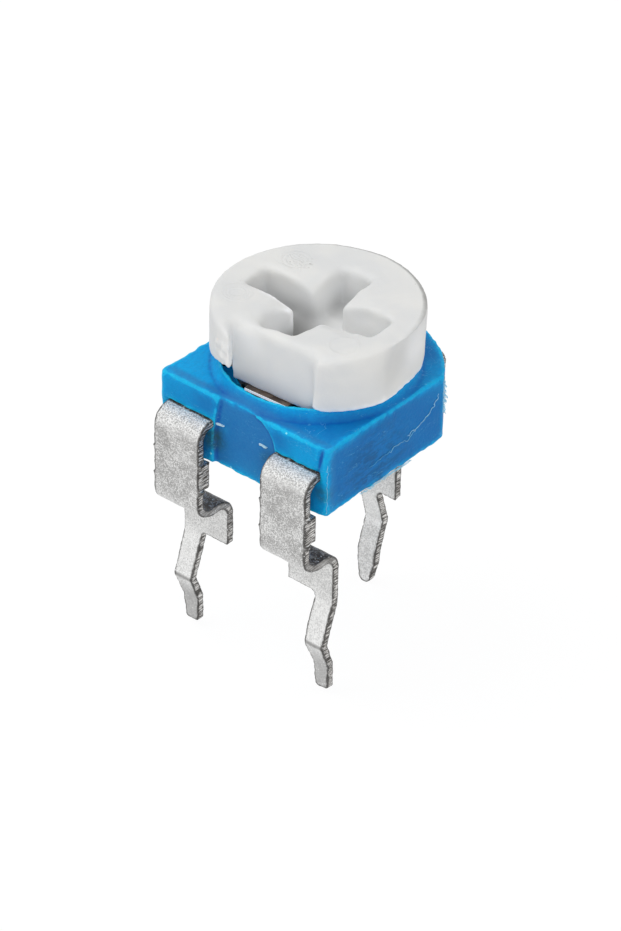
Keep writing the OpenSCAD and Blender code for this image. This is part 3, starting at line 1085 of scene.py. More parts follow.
@dataclass(frozen=True)
class RotorPlastic:
    """Off-white matt plastic with faint round ejector marks on its face."""

    main: Colour = (231, 231, 229)
    cloud: Colour = (224, 225, 225)
    # rim paints light and highlights; shade and deep paint shade.
    rim: Colour = (252, 253, 255)
    speck: Colour = (150, 150, 146)
    shade: Colour = (168, 168, 166)
    deep: Colour = (128, 128, 127)
    # Painted shade in the recess and on the flat.
    dim_floor: Patch = Patch((-0.95, -0.30, 6.30), 1.70, 0.88)
    dim_arm: Patch = Patch((-0.40, 1.50, 6.57), 0.90, 0.22)
    dim_flat: Patch = Patch((2.92, -0.20, 6.95), 1.00, 0.22)
    # Painted light on the right of the head and on the notch wall.
    painted_light_right: Patch = Patch((2.80, 1.05, 7.00), 0.85, 0.45)
    painted_light_notch: Patch = Patch((-0.75, -2.45, 7.15), 0.80, 0.40)
    # Painted highlights along the recess's lips, and a painted shade line on the far rim.
    left_lip: Patch = Patch((-1.00, -0.60, 7.60), 1.00, 1.4)
    near_lip: Patch = Patch((0.10, -1.05, 7.2), 1.25, 1.6)
    back_rim: Patch = Patch((0.6, 3.2, 7.77), 4.6, 1.3)
    gate: Patch = Patch((-1.44, 1.20, 7.77), 0.22, 1.0)
    wrinkles: Patch = Patch((-1.75, 1.20, 7.77), 0.85, 1.0)
    marks: tuple[PinMark, ...] = (
        PinMark(-1.83, 1.18, 0.44),
        PinMark(-1.83, 1.18, 0.30),
        PinMark(-2.00, -1.20, 0.42),
        PinMark(-2.00, -1.20, 0.33),
        PinMark(-2.00, -1.20, 0.24),
        PinMark(2.02, -1.27, 0.42),
    )
    face_z: float = 7.77
    mark_width: float = 0.07
    skirt_z: Band = (6.35, 6.1)
    rim_z: Band = (7.68, 7.73)
    rim_reach: Band = (2.94, 2.98)
    sunk_z: Band = (7.5, 6.5)
    floor_z: Band = (6.06, 6.12)
    recess_reach: Band = (2.45, 2.37)
    recess_y: Band = (-2.05, -1.95)
    lit_z: Band = (7.62, 7.2)
    lit_weight: float = 0.3
    roughness: float = 0.55

    def build(self, effects: Effects) -> bpy.types.Material:
        """Builds the material.

        Args:
            effects: The shared groups.

        Returns:
            The material.
        """
        material, graph, shader = start_material("rotor_plastic")
        place = graph.place()
        grain = use(graph, effects.grain, Place=place, Grain_Scale=14.0, Cloud_Scale=0.7)
        edges = use(graph, effects.edges, Place=place, Break_Scale=4.0, Break=0.3)
        colour = graph.blend(grain.outputs["Cloud"], tint(*self.main), tint(*self.cloud))
        colour = self._edged(graph, place, edges.outputs["Edge"], colour)
        colour = self._hollowed(graph, place, colour)
        # Painted shade on the flat.
        colour = graph.paint(colour, self.dim_flat.mask(graph, place), self.shade)
        # Painted light on the notch wall and on the right of the head.
        painted_light = graph.most(self.painted_light_notch.mask(graph, place), self.painted_light_right.mask(graph, place))
        colour = graph.paint(colour, painted_light, self.rim)
        colour = self._specked(graph, place, effects, colour)
        graph.feed(shader.inputs["Base Color"], colour)
        vary_roughness(graph, shader, grain.outputs["Height"], self.roughness - 0.1, 0.2)
        set_sockets(shader, Subsurface_Weight=0.3, Subsurface_Radius=(1.0, 0.95, 0.9),
                    Subsurface_Scale=0.25 * MM, IOR=1.48, Specular_IOR_Level=0.35)
        bump(graph, shader, self._relief(graph, place, grain.outputs["Height"]), 0.015)
        return material

    def _edged(self, graph: Graph, place: Socket, edge: Socket, colour: Socket) -> Socket:
        """Paints highlights on the lips of the recess and the foot, and a painted shade line along
        the far rim.

        Args:
            graph: The material's graph.
            place: The place on the piece, in millimetres.
            edge: How much each point is an outer corner.
            colour: The colour so far.

        Returns:
            The colour.
        """
        height = graph.axis(place, "Z")
        # Painted highlights along the foot's edge and the recess's lips.
        lit = graph.most(graph.span(height, *self.skirt_z), self.near_lip.mask(graph, place),
                         self.left_lip.mask(graph, place))
        colour = graph.paint(colour, graph.times(edge, lit), self.rim)
        # A painted shade line along the far rim.
        rim_line = graph.times(edge, graph.span(height, *self.rim_z),
                               self.back_rim.mask(graph, place),
                               graph.span(graph.reach(place), *self.rim_reach))
        return graph.paint(colour, rim_line, self.shade)

    def _hollowed(self, graph: Graph, place: Socket, colour: Socket) -> Socket:
        """Paints light on the recess's walls, and painted shade on the deepest part of its floor.

        Args:
            graph: The material's graph.
            place: The place on the piece, in millimetres.
            colour: The colour so far.

        Returns:
            The colour.
        """
        height = graph.axis(place, "Z")
        inside = graph.times(graph.span(graph.reach(place), *self.recess_reach),
                             graph.span(graph.axis(place, "Y"), *self.recess_y))
        # Painted light on the recess's walls.
        light = graph.times(inside, graph.span(height, *self.lit_z, 0.0, self.lit_weight))
        colour = graph.paint(colour, light, self.rim)
        # Painted shade on the deepest floor and in the far arm.
        dim = graph.most(self.dim_arm.mask(graph, place), self.dim_floor.mask(graph, place))
        sunk = graph.times(graph.span(height, *self.sunk_z), graph.span(height, *self.floor_z))
        return graph.paint(colour, graph.times(sunk, inside, dim), self.deep)

    def _specked(self, graph: Graph, place: Socket, effects: Effects, colour: Socket) -> Socket:
        """Adds stray dark specks, and a cluster of them at the gate.

        Args:
            graph: The material's graph.
            place: The place on the piece, in millimetres.
            effects: The shared groups.
            colour: The colour so far.

        Returns:
            The colour.
        """
        specks = use(graph, effects.specks, Place=place, Per_Millimetre=2.6, Size=0.05, Share=0.16)
        pits = use(graph, effects.specks, Place=place, Per_Millimetre=9.0, Size=0.36, Share=0.6)
        dots = graph.times(pits.outputs["Speck"], self.gate.mask(graph, place), 0.8)
        dark = graph.most(graph.times(specks.outputs["Speck"], 0.5), dots)
        return graph.paint(colour, dark, self.speck)

    def _relief(self, graph: Graph, place: Socket, grain: Socket) -> Socket:
        """Makes the relief: fine grain, the ejector marks and the wrinkles.

        Args:
            graph: The material's graph.
            place: The place on the piece, in millimetres.
            grain: The height of the fine grain.

        Returns:
            The relief's height.
        """
        relief = graph.times(grain, 0.5)
        for mark in self.marks:
            off = graph.distance(place, (mark.x, mark.y, self.face_z))
            off = graph.maths("ABSOLUTE", graph.maths("SUBTRACT", off, mark.radius))
            ring = graph.span(off, self.mark_width, 0.0)
            relief = graph.maths("ADD", relief, graph.times(ring, 0.8))
        swirl = graph.times(graph.noise(place, 1.6, 1.0, 0.5, 1.2), 46.0)
        creases = graph.times(graph.maths("SINE", swirl), self.wrinkles.mask(graph, place))
        return graph.maths("MULTIPLY_ADD", creases, 0.5, relief)


@dataclass(frozen=True)
class SheetMaps:
    """The maps of a terminal's surface that more than one of its layers reads."""

    place: Socket
    height: Socket
    in_front: Socket
    grain: Socket
    cloud: Socket
    mottle: Socket
    ragged: Socket
    bend: Socket
    in_step: Socket
    cut: Socket
    ridge: Socket


@dataclass(frozen=True)
class TinnedSteel:
    """Dull hot-tinned sheet, with ridged bright and dark sheared edges, painted highlights on the
    legs and the bend, and painted shade along the crease, the edges, the step and the exit.
    """

    main: Colour = (194, 194, 193)
    light: Colour = (240, 240, 239)
    dull: Colour = (150, 149, 148)
    # Painted shade on the step and where the sheet leaves the housing.
    shade_dark: Colour = (60, 52, 44)
    glint: Colour = (246, 246, 245)
    cut_light: Colour = (226, 224, 221)
    cut_dark: Colour = (66, 62, 58)
    outline: Colour = (70, 68, 66)
    bend_z: Band = (4.15, 4.5)
    exit_z: Band = (4.3, 4.5)
    exit_y: Band = (-3.25, -3.22)
    plate_foot_z: Band = (1.6, 2.2)
    plate_top_z: Band = (4.72, 4.1)
    step_top_z: Band = (1.95, 1.70)
    step_foot_z: Band = (1.25, 1.45)
    leg_top_z: Band = (0.3, -0.2)
    crease_z: float = -1.56
    crease_blend: float = 0.1
    crease_line: Band = (0.11, 0.01)
    tail_z: float = -2.42
    front_y: Band = (0.0, -1.0)
    tail_weight: float = 0.5
    crease_weight: float = 0.75
    bend_weight: float = 0.8
    outline_weight: float = 0.9
    roughness: float = 0.44

    def build(self, effects: Effects) -> bpy.types.Material:
        """Builds the material.

        Args:
            effects: The shared groups.

        Returns:
            The material.
        """
        material, graph, shader = start_material("tinned_steel")
        maps = self._maps(graph, effects)
        painted_shade = self._painted_shade_mask(graph, maps)
        colour = graph.blend(maps.mottle, tint(*self.main), tint(*self.light))
        colour = self._lit_and_dulled(graph, maps, colour)
        colour = self._pitted(graph, maps, effects, colour)
        # Painted shade: a dark mottle laid on the step and at the exit.
        shade_mottle = graph.span(graph.noise(maps.place, 10.0, 2.0, 0.6, 0.8), 0.5, 0.62)
        shade_mottle = graph.blend(shade_mottle, tint(*self.shade_dark), tint(*self.dull))
        colour = graph.blend(painted_shade, colour, shade_mottle)
        colour = self._sheared(graph, maps, effects, colour)
        graph.feed(shader.inputs["Base Color"], colour)
        vary_roughness(graph, shader, maps.grain, self.roughness - 0.15, 0.3)
        graph.feed(shader.inputs["Metallic"], graph.span(painted_shade, 0.0, 1.0, 0.7, 0.0))
        rough_bend = graph.maths("MULTIPLY_ADD", maps.bend, 1.5, 1.0)
        relief = graph.maths("MULTIPLY_ADD", maps.ridge, maps.cut,
                             graph.times(maps.grain, rough_bend))
        bump(graph, shader, relief, 0.02)
        return material

    def _maps(self, graph: Graph, effects: Effects) -> SheetMaps:
        """Makes the maps that the layers share.

        Args:
            graph: The material's graph.
            effects: The shared groups.

        Returns:
            The maps.
        """
        place = graph.place()
        height = graph.axis(place, "Z")
        fine = use(graph, effects.grain, Place=place, Grain_Scale=24.0, Cloud_Scale=1.3)
        coarse = graph.noise(place, 7.0, 3.0, 0.65, 0.3)
        lumps = graph.maths("MULTIPLY_ADD", fine.outputs["Height"], 0.75,
                            graph.times(coarse, 0.25))
        return SheetMaps(
            place=place,
            height=height,
            in_front=graph.span(graph.axis(place, "Y"), *self.front_y),
            grain=fine.outputs["Height"],
            cloud=fine.outputs["Cloud"],
            mottle=graph.span(lumps, 0.38, 0.62),
            ragged=graph.span(coarse, 0.45, 0.6),
            bend=graph.span(height, *self.bend_z),
            in_step=graph.times(graph.span(height, *self.step_top_z),
                                graph.span(height, *self.step_foot_z)),
            cut=graph.attribute("cut"),
            ridge=graph.noise(graph.place((0.5, 0.5, 6.0)), 5.0, 1.0, 0.6),
        )

    def _painted_shade_mask(self, graph: Graph, maps: SheetMaps) -> Socket:
        """Finds where shade is painted: on the step's upper faces, and as a shadow where the sheet
        leaves the housing.

        Args:
            graph: The material's graph.
            maps: The shared maps.

        Returns:
            How much painted shade there is, from 0 to 1.
        """
        normal = graph.add("NewGeometry").outputs["Normal"]
        upward = graph.span(graph.axis(normal, "Z"), 0.1, 0.7)
        on_step = graph.times(maps.in_step, graph.most(upward, graph.times(maps.cut, 0.7)))
        at_exit = graph.times(graph.span(maps.height, *self.exit_z),
                              graph.span(graph.axis(maps.place, "Y"), *self.exit_y),
                              maps.in_front)
        return graph.most(on_step, at_exit)

    def _lit_and_dulled(self, graph: Graph, maps: SheetMaps, colour: Socket) -> Socket:
        """Paints a highlight on the leg's upper part and shade along the crease, and dulls the
        plate and the tail, darker towards the tip.

        Args:
            graph: The material's graph.
            maps: The shared maps.
            colour: The colour so far.

        Returns:
            The colour.
        """
        # Painted highlight on the leg's upper part.
        leg = graph.times(graph.span(maps.height, *self.leg_top_z),
                          graph.span(maps.height, self.crease_z - self.crease_blend,
                                     self.crease_z + self.crease_blend),
                          graph.span(maps.mottle, 0.0, 1.0, 0.35, 0.85))
        colour = graph.paint(colour, leg, self.glint)
        patchy = graph.span(graph.maths("MULTIPLY_ADD", maps.cloud, 0.6, maps.mottle), 1.4, 0.2)
        plate = graph.times(graph.span(maps.height, *self.plate_foot_z, 0.05, 0.75),
                            graph.span(maps.height, *self.plate_top_z, 0.25, 1.0), patchy)
        tail = graph.span(maps.height, self.crease_z, self.tail_z, 0.0, self.tail_weight)
        off_crease = graph.maths("ABSOLUTE", graph.maths("SUBTRACT", maps.height, self.crease_z))
        # Painted shade along the crease.
        crease = graph.span(off_crease, *self.crease_line, 0.0, self.crease_weight)
        dulled = graph.most(plate, graph.times(graph.most(tail, crease), maps.in_front))
        return graph.paint(colour, dulled, self.dull)

    def _pitted(self, graph: Graph, maps: SheetMaps, effects: Effects, colour: Socket) -> Socket:
        """Paints a highlight on the bend at the housing, and pits the tin.

        Args:
            graph: The material's graph.
            maps: The shared maps.
            effects: The shared groups.
            colour: The colour so far.

        Returns:
            The colour.
        """
        # Painted highlight on the bend at the housing.
        colour = graph.paint(colour, graph.times(maps.bend, self.bend_weight), self.glint)
        pits = use(graph, effects.specks, Place=maps.place, Per_Millimetre=13.0, Size=0.34,
                   Share=0.22)
        on_bend = graph.times(graph.span(maps.grain, 0.56, 0.40), maps.bend, 0.75)
        pitted = graph.times(graph.most(graph.times(pits.outputs["Speck"], 0.5), on_bend),
                             graph.most(maps.ragged, maps.bend))
        return graph.paint(colour, pitted, self.dull)

    def _sheared(self, graph: Graph, maps: SheetMaps, effects: Effects, colour: Socket) -> Socket:
        """Colours the sheared sides, paints shade along the outer edges, and adds painted glints.

        Args:
            graph: The material's graph.
            maps: The shared maps.
            effects: The shared groups.
            colour: The colour so far.

        Returns:
            The colour.
        """
        sheared = graph.blend(graph.span(maps.ridge, 0.44, 0.6), tint(*self.cut_dark),
                              tint(*self.cut_light))
        bare = graph.times(maps.cut, graph.maths("SUBTRACT", 1.0, graph.times(maps.in_step, 0.6)))
        colour = graph.blend(bare, colour, sheared)
        edges = use(graph, effects.edges, Place=maps.place, Break_Scale=7.0, Break=0.8)
        # Painted shade along the outer edges.
        edge_shade = graph.times(edges.outputs["Edge"], self.outline_weight)
        colour = graph.paint(colour, edge_shade, self.outline)
        # Painted glints.
        glints = use(graph, effects.specks, Place=graph.place(offset=(3.1, 1.7, 0.4)),
                     Per_Millimetre=14.0, Size=0.34, Share=0.22)
        glint = graph.times(glints.outputs["Speck"], maps.ragged, 0.7)
        return graph.paint(colour, glint, self.glint)


@dataclass(frozen=True)
class PlainMetal:
    """A small metal part with a fine grain and a tone that varies."""

    name: str
    main: Colour
    dull: Colour
    roughness: float
    metallic: float = 0.9

    def build(self, effects: Effects) -> bpy.types.Material:
        """Builds the material.

        Args:
            effects: The shared groups.

        Returns:
            The material.
        """
        material, graph, shader = start_material(self.name)
        grain = use(graph, effects.grain, Place=graph.place(), Grain_Scale=22.0, Cloud_Scale=2.5)
        streaks = use(graph, effects.scuffs, Place=graph.place((0.3, 1.0, 1.0)),
                      Streak_Scale=9.0, Fineness=0.02, Patchiness=0.45)
        tone = graph.maths("MULTIPLY_ADD", streaks.outputs["Scuff"], 0.4,
                           graph.times(grain.outputs["Cloud"], 0.6))
        colour = graph.blend(tone, tint(*self.main), tint(*self.dull))
        graph.feed(shader.inputs["Base Color"], colour)
        vary_roughness(graph, shader, grain.outputs["Height"], self.roughness - 0.15, 0.3)
        set_sockets(shader, Metallic=self.metallic)
        bump(graph, shader, grain.outputs["Height"], 0.006)
        return material


@dataclass(frozen=True)
class WiperSpring:
    """Tarnished spring metal whose sheared front edge is painted white and made to glow, a painted
    highlight.
    """

    main: Colour = (138, 122, 108)
    tarnish: Colour = (92, 80, 72)
    edge: Colour = (255, 254, 250)
    front: Point = (0.0436, -0.9990, 0.0)
    front_reach: float = 2.345
    front_blend: float = 0.01
    bright_z: float = 5.61
    bright_blend: float = 0.02
    glow: float = 0.35
    roughness: float = 0.45

    def build(self, effects: Effects) -> bpy.types.Material:
        """Builds the material.

        Args:
            effects: The shared groups.

        Returns:
            The material.
        """
        material, graph, shader = start_material("wiper_spring")
        place = graph.place()
        grain = use(graph, effects.grain, Place=place, Grain_Scale=16.0, Cloud_Scale=2.5)
        colour = graph.blend(grain.outputs["Cloud"], tint(*self.main), tint(*self.tarnish))
        forward = graph.add("VectorMath", operation="DOT_PRODUCT")
        graph.feed(forward.inputs[0], place)
        graph.feed(forward.inputs[1], self.front)
        # Painted highlight: the front edge is white and glows.
        bright = graph.times(
            graph.span(forward.outputs["Value"], self.front_reach,
                       self.front_reach + self.front_blend),
            graph.span(graph.axis(place, "Z"), self.bright_z, self.bright_z + self.bright_blend))
        graph.feed(shader.inputs["Base Color"], graph.paint(colour, bright, self.edge))
        graph.feed(shader.inputs["Metallic"], graph.span(bright, 0.0, 1.0, 0.5, 0.0))
        graph.feed(shader.inputs["Emission Color"], graph.paint(BLACK, bright, self.edge))
        set_sockets(shader, Emission_Strength=self.glow)
        vary_roughness(graph, shader, grain.outputs["Height"], self.roughness - 0.15, 0.3)
        bump(graph, shader, grain.outputs["Height"], 0.006)
        return material


@dataclass(frozen=True)
class PrintedLayer:
    """A printed, pressed or laminated surface with speckle."""

    name: str
    main: Colour
    speckle: Colour
    roughness: float
    metallic: float = 0.0
    speckle_scale: float = 12.0

    def build(self, effects: Effects) -> bpy.types.Material:
        """Builds the material.

        Args:
            effects: The shared groups.

        Returns:
            The material.
        """
        material, graph, shader = start_material(self.name)
        place = graph.place()
        grain = use(graph, effects.grain, Place=place, Grain_Scale=self.speckle_scale,
                    Cloud_Scale=1.6)
        specks = use(graph, effects.specks, Place=place, Per_Millimetre=self.speckle_scale,
                     Size=0.3, Share=0.3)
        share = graph.maths("MULTIPLY_ADD", specks.outputs["Speck"], 0.5,
                            graph.times(grain.outputs["Cloud"], 0.5))
        colour = graph.blend(share, tint(*self.main), tint(*self.speckle))
        graph.feed(shader.inputs["Base Color"], colour)
        vary_roughness(graph, shader, grain.outputs["Height"], self.roughness - 0.12, 0.25)
        set_sockets(shader, Metallic=self.metallic)
        bump(graph, shader, grain.outputs["Height"], 0.008)
        return material


# ------------------------------------------------------------------ the pieces


@dataclass
class HousingShell:
    """The blue moulding that holds everything."""

    voxel: float = 0.045
    grain_depth: float = 0.014
    edge_grain_depth: float = 0.035
    side_x: float = 3.1
    front_y: float = -3.18
    under_z: float = 3.34
    groove_x: float = 2.90
    groove_depth: float = 0.06
    groove_width: float = 0.09
    groove_reach: float = 0.12
    groove_foot_z: float = 4.43
    groove_fade: float = 0.3
    groove_lean: float = 0.2
    lean_z: float = 5.61
    warp_height: float = 0.35
    warp_reach: float = 0.6
    front_sag: float = 0.10
    sag_end_x: float = 2.6
    sag_fade: float = 1.2
    side_rise: float = 0.08
    pushes: tuple[Push, ...] = (
        Push((-3.10, -3.18, 4.60), (-3.10, -3.18, 5.60), 0.90, (-0.05, 0.0, 0.0)),
    )

    def build(self, material: bpy.types.Material) -> None:
        """Makes the shell and puts it in its place.

        Args:
            material: The housing's finish.
        """
        refinement = Refinement(voxel=self.voxel, soften=2, glow_rounds=45, glow_full=0.055)
        piece = refinement.refine("housing", "housing_shell", pushes=self.pushes)
        self._press(piece)
        refinement.roughen(piece, depth=self.grain_depth, scale=1.4,
                           edge_depth=self.edge_grain_depth, edge_scale=4.0)
        refinement.measure(piece)
        set_down(piece, material, Body.BASE)
        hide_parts("housing")

    def _press(self, piece: bpy.types.Object) -> None:
        """Presses the groove by the front corner and warps the lower edges.

        Args:
            piece: The shell, in millimetres.
        """
        cloud = PointCloud(piece.data)
        points = cloud.points.copy()
        x, y, z = points.T
        on_front = fade(np.abs(y - self.front_y), self.groove_reach)
        above = ramp(z, self.groove_foot_z, self.groove_fade)
        lean = self.groove_lean * ramp(z, self.lean_z, -1.0)
        off = (x - self.groove_x + lean) / self.groove_width
        y += self.groove_depth * np.exp(-off * off) * on_front * above
        low = fade(z - self.under_z, self.warp_height)
        to_front = fade(y - self.front_y, self.warp_reach)
        to_side = fade(self.side_x - x, self.warp_reach)
        inward = ramp(x, self.sag_end_x, -self.sag_fade)
        z += low * (self.side_rise * to_side * (1.0 - to_front)
                    - self.front_sag * to_front * inward)
        cloud.move_to(points)


@dataclass
class RotorKnob:
    """The white rotor with its dished cross recess and its notched side."""

    voxel: float = 0.045
    grain_depth: float = 0.008
    edge_grain_depth: float = 0.012
    blister: SoftZone = SoftZone((-1.30, -2.80, 7.05), (-0.85, -2.90, 6.95), 0.42, 0)
    blister_height: float = 0.09
    blister_lumps: float = 4.5
    skirt_drop: float = 0.14
    skirt_swell: float = 0.07
    skirt_radius: float = 2.78
    skirt_blend: float = 0.14
    skirt_z: float = 6.45
    skirt_height: float = 0.35
    skirt_start: float = -68.0
    skirt_start_fade: float = 50.0
    skirt_end: float = 38.0
    skirt_end_fade: float = 15.0
    flat_bearing: float = 6.0
    flat_spread: float = 12.0
    pushes: tuple[Push, ...] = (
        # The floor falls further under the front arm.
        Push((-0.30, -1.35, 6.50), (-0.50, -0.20, 6.50), 0.85, (0.0, 0.0, -0.38)),
        # The front arm's left wall and the right arm's far wall are splayed.
        Push((-0.52, -1.80, 7.65), (-0.52, -1.20, 7.60), 0.80, (-0.26, 0.0, -0.05)),
        Push((1.15, 0.52, 7.60), (1.75, 0.52, 7.65), 0.62, (0.0, 0.10, -0.03)),
        # The dish is lower along the near edge of the right arm and beside the front arm.
        Push((1.05, -0.50, 7.72), (1.60, -0.55, 7.77), 0.50, (0.0, 0.0, -0.13)),
        Push((0.52, -1.05, 7.70), (0.52, -1.45, 7.77), 0.42, (0.0, 0.0, -0.11)),
        # The lobe's lower corner beside the notch is drawn up.
        Push((-0.75, -2.90, 5.95), (-0.75, -2.90, 5.95), 0.62, (0.0, 0.0, 0.30)),
        # The far rim stands a little full.
        Push((0.20, 3.00, 7.77), (2.60, 1.50, 7.77), 1.60, (0.025, 0.03, 0.02)),
        # Two inner corners of the cross come in.
        Push((-0.60, -0.60, 6.60), (-0.60, -0.60, 7.50), 0.45, (0.08, 0.08, 0.0)),
        Push((0.58, 0.58, 6.70), (0.58, 0.58, 7.50), 0.45, (-0.06, -0.06, 0.0)),
        # The front arm ends a little sooner on its right.
        Push((0.48, -1.65, 7.65), (0.38, -1.75, 7.60), 0.50, (-0.04, 0.09, 0.0)),
    )
    zones: tuple[SoftZone, ...] = (
        # The cross: its far left inner corner, then the edges and the ends of its arms.
        SoftZone((-0.55, 0.55, 6.9), (-0.75, 0.75, 7.7), 0.80, 70),
        SoftZone((-2.10, 0.55, 7.7), (-0.80, 0.60, 7.7), 0.42, 36),
        SoftZone((-0.52, 0.90, 7.7), (-0.52, 1.80, 7.7), 0.45, 50),
        SoftZone((-0.60, 1.82, 7.7), (0.55, 1.82, 7.7), 0.55, 90),
        SoftZone((-2.25, -0.40, 7.7), (-2.25, 0.50, 7.7), 0.50, 60),
        SoftZone((-0.60, -1.90, 7.7), (-0.60, -1.50, 7.7), 0.60, 160),
        SoftZone((-0.60, -1.60, 7.7), (-0.60, -1.15, 7.5), 0.50, 90),
        SoftZone((0.80, 0.60, 7.6), (1.90, 0.60, 7.7), 0.45, 40),
        SoftZone((2.25, 0.45, 7.7), (2.25, -0.45, 7.7), 0.40, 40),
        SoftZone((0.62, -1.55, 7.7), (0.70, -0.90, 7.5), 0.40, 30),
        SoftZone((-0.90, 0.52, 6.55), (-0.40, 0.40, 6.50), 0.50, 40),
        # The notch: its long upper edge, its corner by the lobe, and the lobe itself.
        SoftZone((-1.20, -2.26, 7.77), (-0.70, -2.24, 7.77), 0.75, 120),
        SoftZone((-0.70, -2.24, 7.77), (0.70, -2.17, 7.77), 0.42, 30),
        SoftZone((0.70, -2.17, 7.77), (1.80, -2.12, 7.77), 0.70, 110),
        SoftZone((-0.67, -2.95, 7.77), (-0.70, -2.95, 7.35), 0.65, 150),
        SoftZone((-0.95, -2.30, 7.60), (-0.95, -2.30, 6.70), 0.50, 110),
        SoftZone((-0.85, -3.00, 6.03), (-0.75, -2.90, 6.10), 0.30, 20),
        SoftZone((-0.90, -2.70, 7.77), (-2.20, -2.15, 7.77), 0.75, 110),
        # The notch's right end, down the side, and the head's edge beyond it.
        SoftZone((1.82, -2.48, 7.7), (1.82, -2.48, 6.95), 0.75, 150),
        SoftZone((1.82, -2.48, 6.9), (1.82, -2.48, 6.2), 0.35, 20),
        SoftZone((1.82, -2.48, 7.77), (2.98, -0.80, 7.77), 0.80, 110),
    )

    def build(self, material: bpy.types.Material) -> None:
        """Makes the rotor and puts it in its place.

        Args:
            material: The rotor's finish.
        """
        refinement = Refinement(voxel=self.voxel, soften=1)
        piece = refinement.refine("rotor", "rotor_knob", self.zones, self.pushes)
        self._raise_blister(piece)
        self._lower_skirt(piece)
        refinement.roughen(piece, depth=self.grain_depth, scale=1.2,
                           edge_depth=self.edge_grain_depth, edge_scale=4.0)
        refinement.measure(piece)
        set_down(piece, material, Body.ROTOR)
        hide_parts("rotor")

    def _raise_blister(self, piece: bpy.types.Object) -> None:
        """Raises the blistered corner beside the notch.

        Args:
            piece: The rotor, in millimetres.
        """
        cloud = PointCloud(piece.data)
        weight = self.blister.weight(cloud.points)
        lumps = np.zeros(cloud.count)
        for index in np.nonzero(weight > 0.0)[0]:
            lumps[index] = 0.25 + noise.noise(Vector(cloud.points[index]) * self.blister_lumps)
        shift = weight * lumps * self.blister_height
        cloud.move_to(cloud.points + cloud.normals * shift[:, None])

    def _lower_skirt(self, piece: bpy.types.Object) -> None:
        """Draws the head's lower edge down, right of the notch, and fills out its flat.

        Args:
            piece: The rotor, in millimetres.
        """
        cloud = PointCloud(piece.data)
        points = cloud.points.copy()
        x, y, z = points.T
        bearing = np.degrees(np.arctan2(y, x))
        low = ramp(np.hypot(x, y), self.skirt_radius, self.skirt_blend)
        low *= ramp(z, self.skirt_z, -self.skirt_height)
        window = ramp(bearing, self.skirt_start, self.skirt_start_fade)
        window *= ramp(bearing, self.skirt_end, -self.skirt_end_fade)
        on_flat = np.exp(-((bearing - self.flat_bearing) / self.flat_spread) ** 2)
        x += self.skirt_swell * low * on_flat
        z -= self.skirt_drop * low * window
        cloud.move_to(points)


@dataclass
class FormedTerminal:
    """One terminal of bent sheet, with the shear marks of its blank."""

    node: str
    name: str
    pushes: tuple[Push, ...]
    voxel: float = 0.030
    dent: float = 0.012
    cut_tilt: float = 0.55
    cut_blend: float = 0.2

    def build(self, material: bpy.types.Material) -> None:
        """Makes the terminal and puts it in its place.

        Args:
            material: The sheet's finish.
        """
        refinement = Refinement(voxel=self.voxel, soften=1, edge_rounds=5, edge_full=0.013)
        piece = refinement.refine(self.node, self.name, pushes=self.pushes)
        refinement.roughen(piece, depth=self.dent, scale=2.5, edge_depth=self.dent, edge_scale=8.0)
        cloud = refinement.measure(piece)
        sideways = np.abs(cloud.normals[:, 0])
        cloud.store("cut", ramp(sideways, self.cut_tilt, self.cut_blend))
        set_down(piece, material, Body.BASE)
        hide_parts(self.node)


@dataclass
class TongueEnd:
    """The end of a tongue that shows beside a strip, in its slot, painted bright as a glint."""

    name: str
    low_x: float
    high_x: float
    seed: float
    face_y: float = -3.115
    depth: float = 0.12
    z: float = 4.655
    thickness: float = 0.05
    corner: float = 0.012
    raggedness: float = 0.028
    waves: float = 24.0

    def build(self, material: bpy.types.Material) -> None:
        """Makes the sliver and puts it in its place.

        Args:
            material: The sheet's finish.
        """
        deselect_all()
        middle = ((self.low_x + self.high_x) / 2, self.face_y + self.depth / 2, self.z)
        bpy.ops.mesh.primitive_cube_add(size=1.0, location=middle)
        piece = bpy.context.object
        piece.name = self.name
        piece.scale = (self.high_x - self.low_x, self.depth, self.thickness)
        bpy.ops.object.transform_apply(location=True, rotation=True, scale=True)
        bpy.ops.object.mode_set(mode="EDIT")
        bpy.ops.mesh.select_all(action="SELECT")
        bpy.ops.mesh.bevel(offset=self.corner, segments=2)
        bpy.ops.mesh.subdivide(number_cuts=2)
        bpy.ops.object.mode_set(mode="OBJECT")
        cloud = PointCloud(piece.data)
        shift = Vector((self.seed, self.seed, self.seed))
        wander = [noise.noise_vector(Vector(point) * self.waves + shift) for point in cloud.points]
        cloud.move_to(cloud.points + np.array(wander) * self.raggedness)
        bpy.ops.object.shade_smooth_by_angle(angle=math.radians(40))
        set_down(piece, material, Body.BASE)


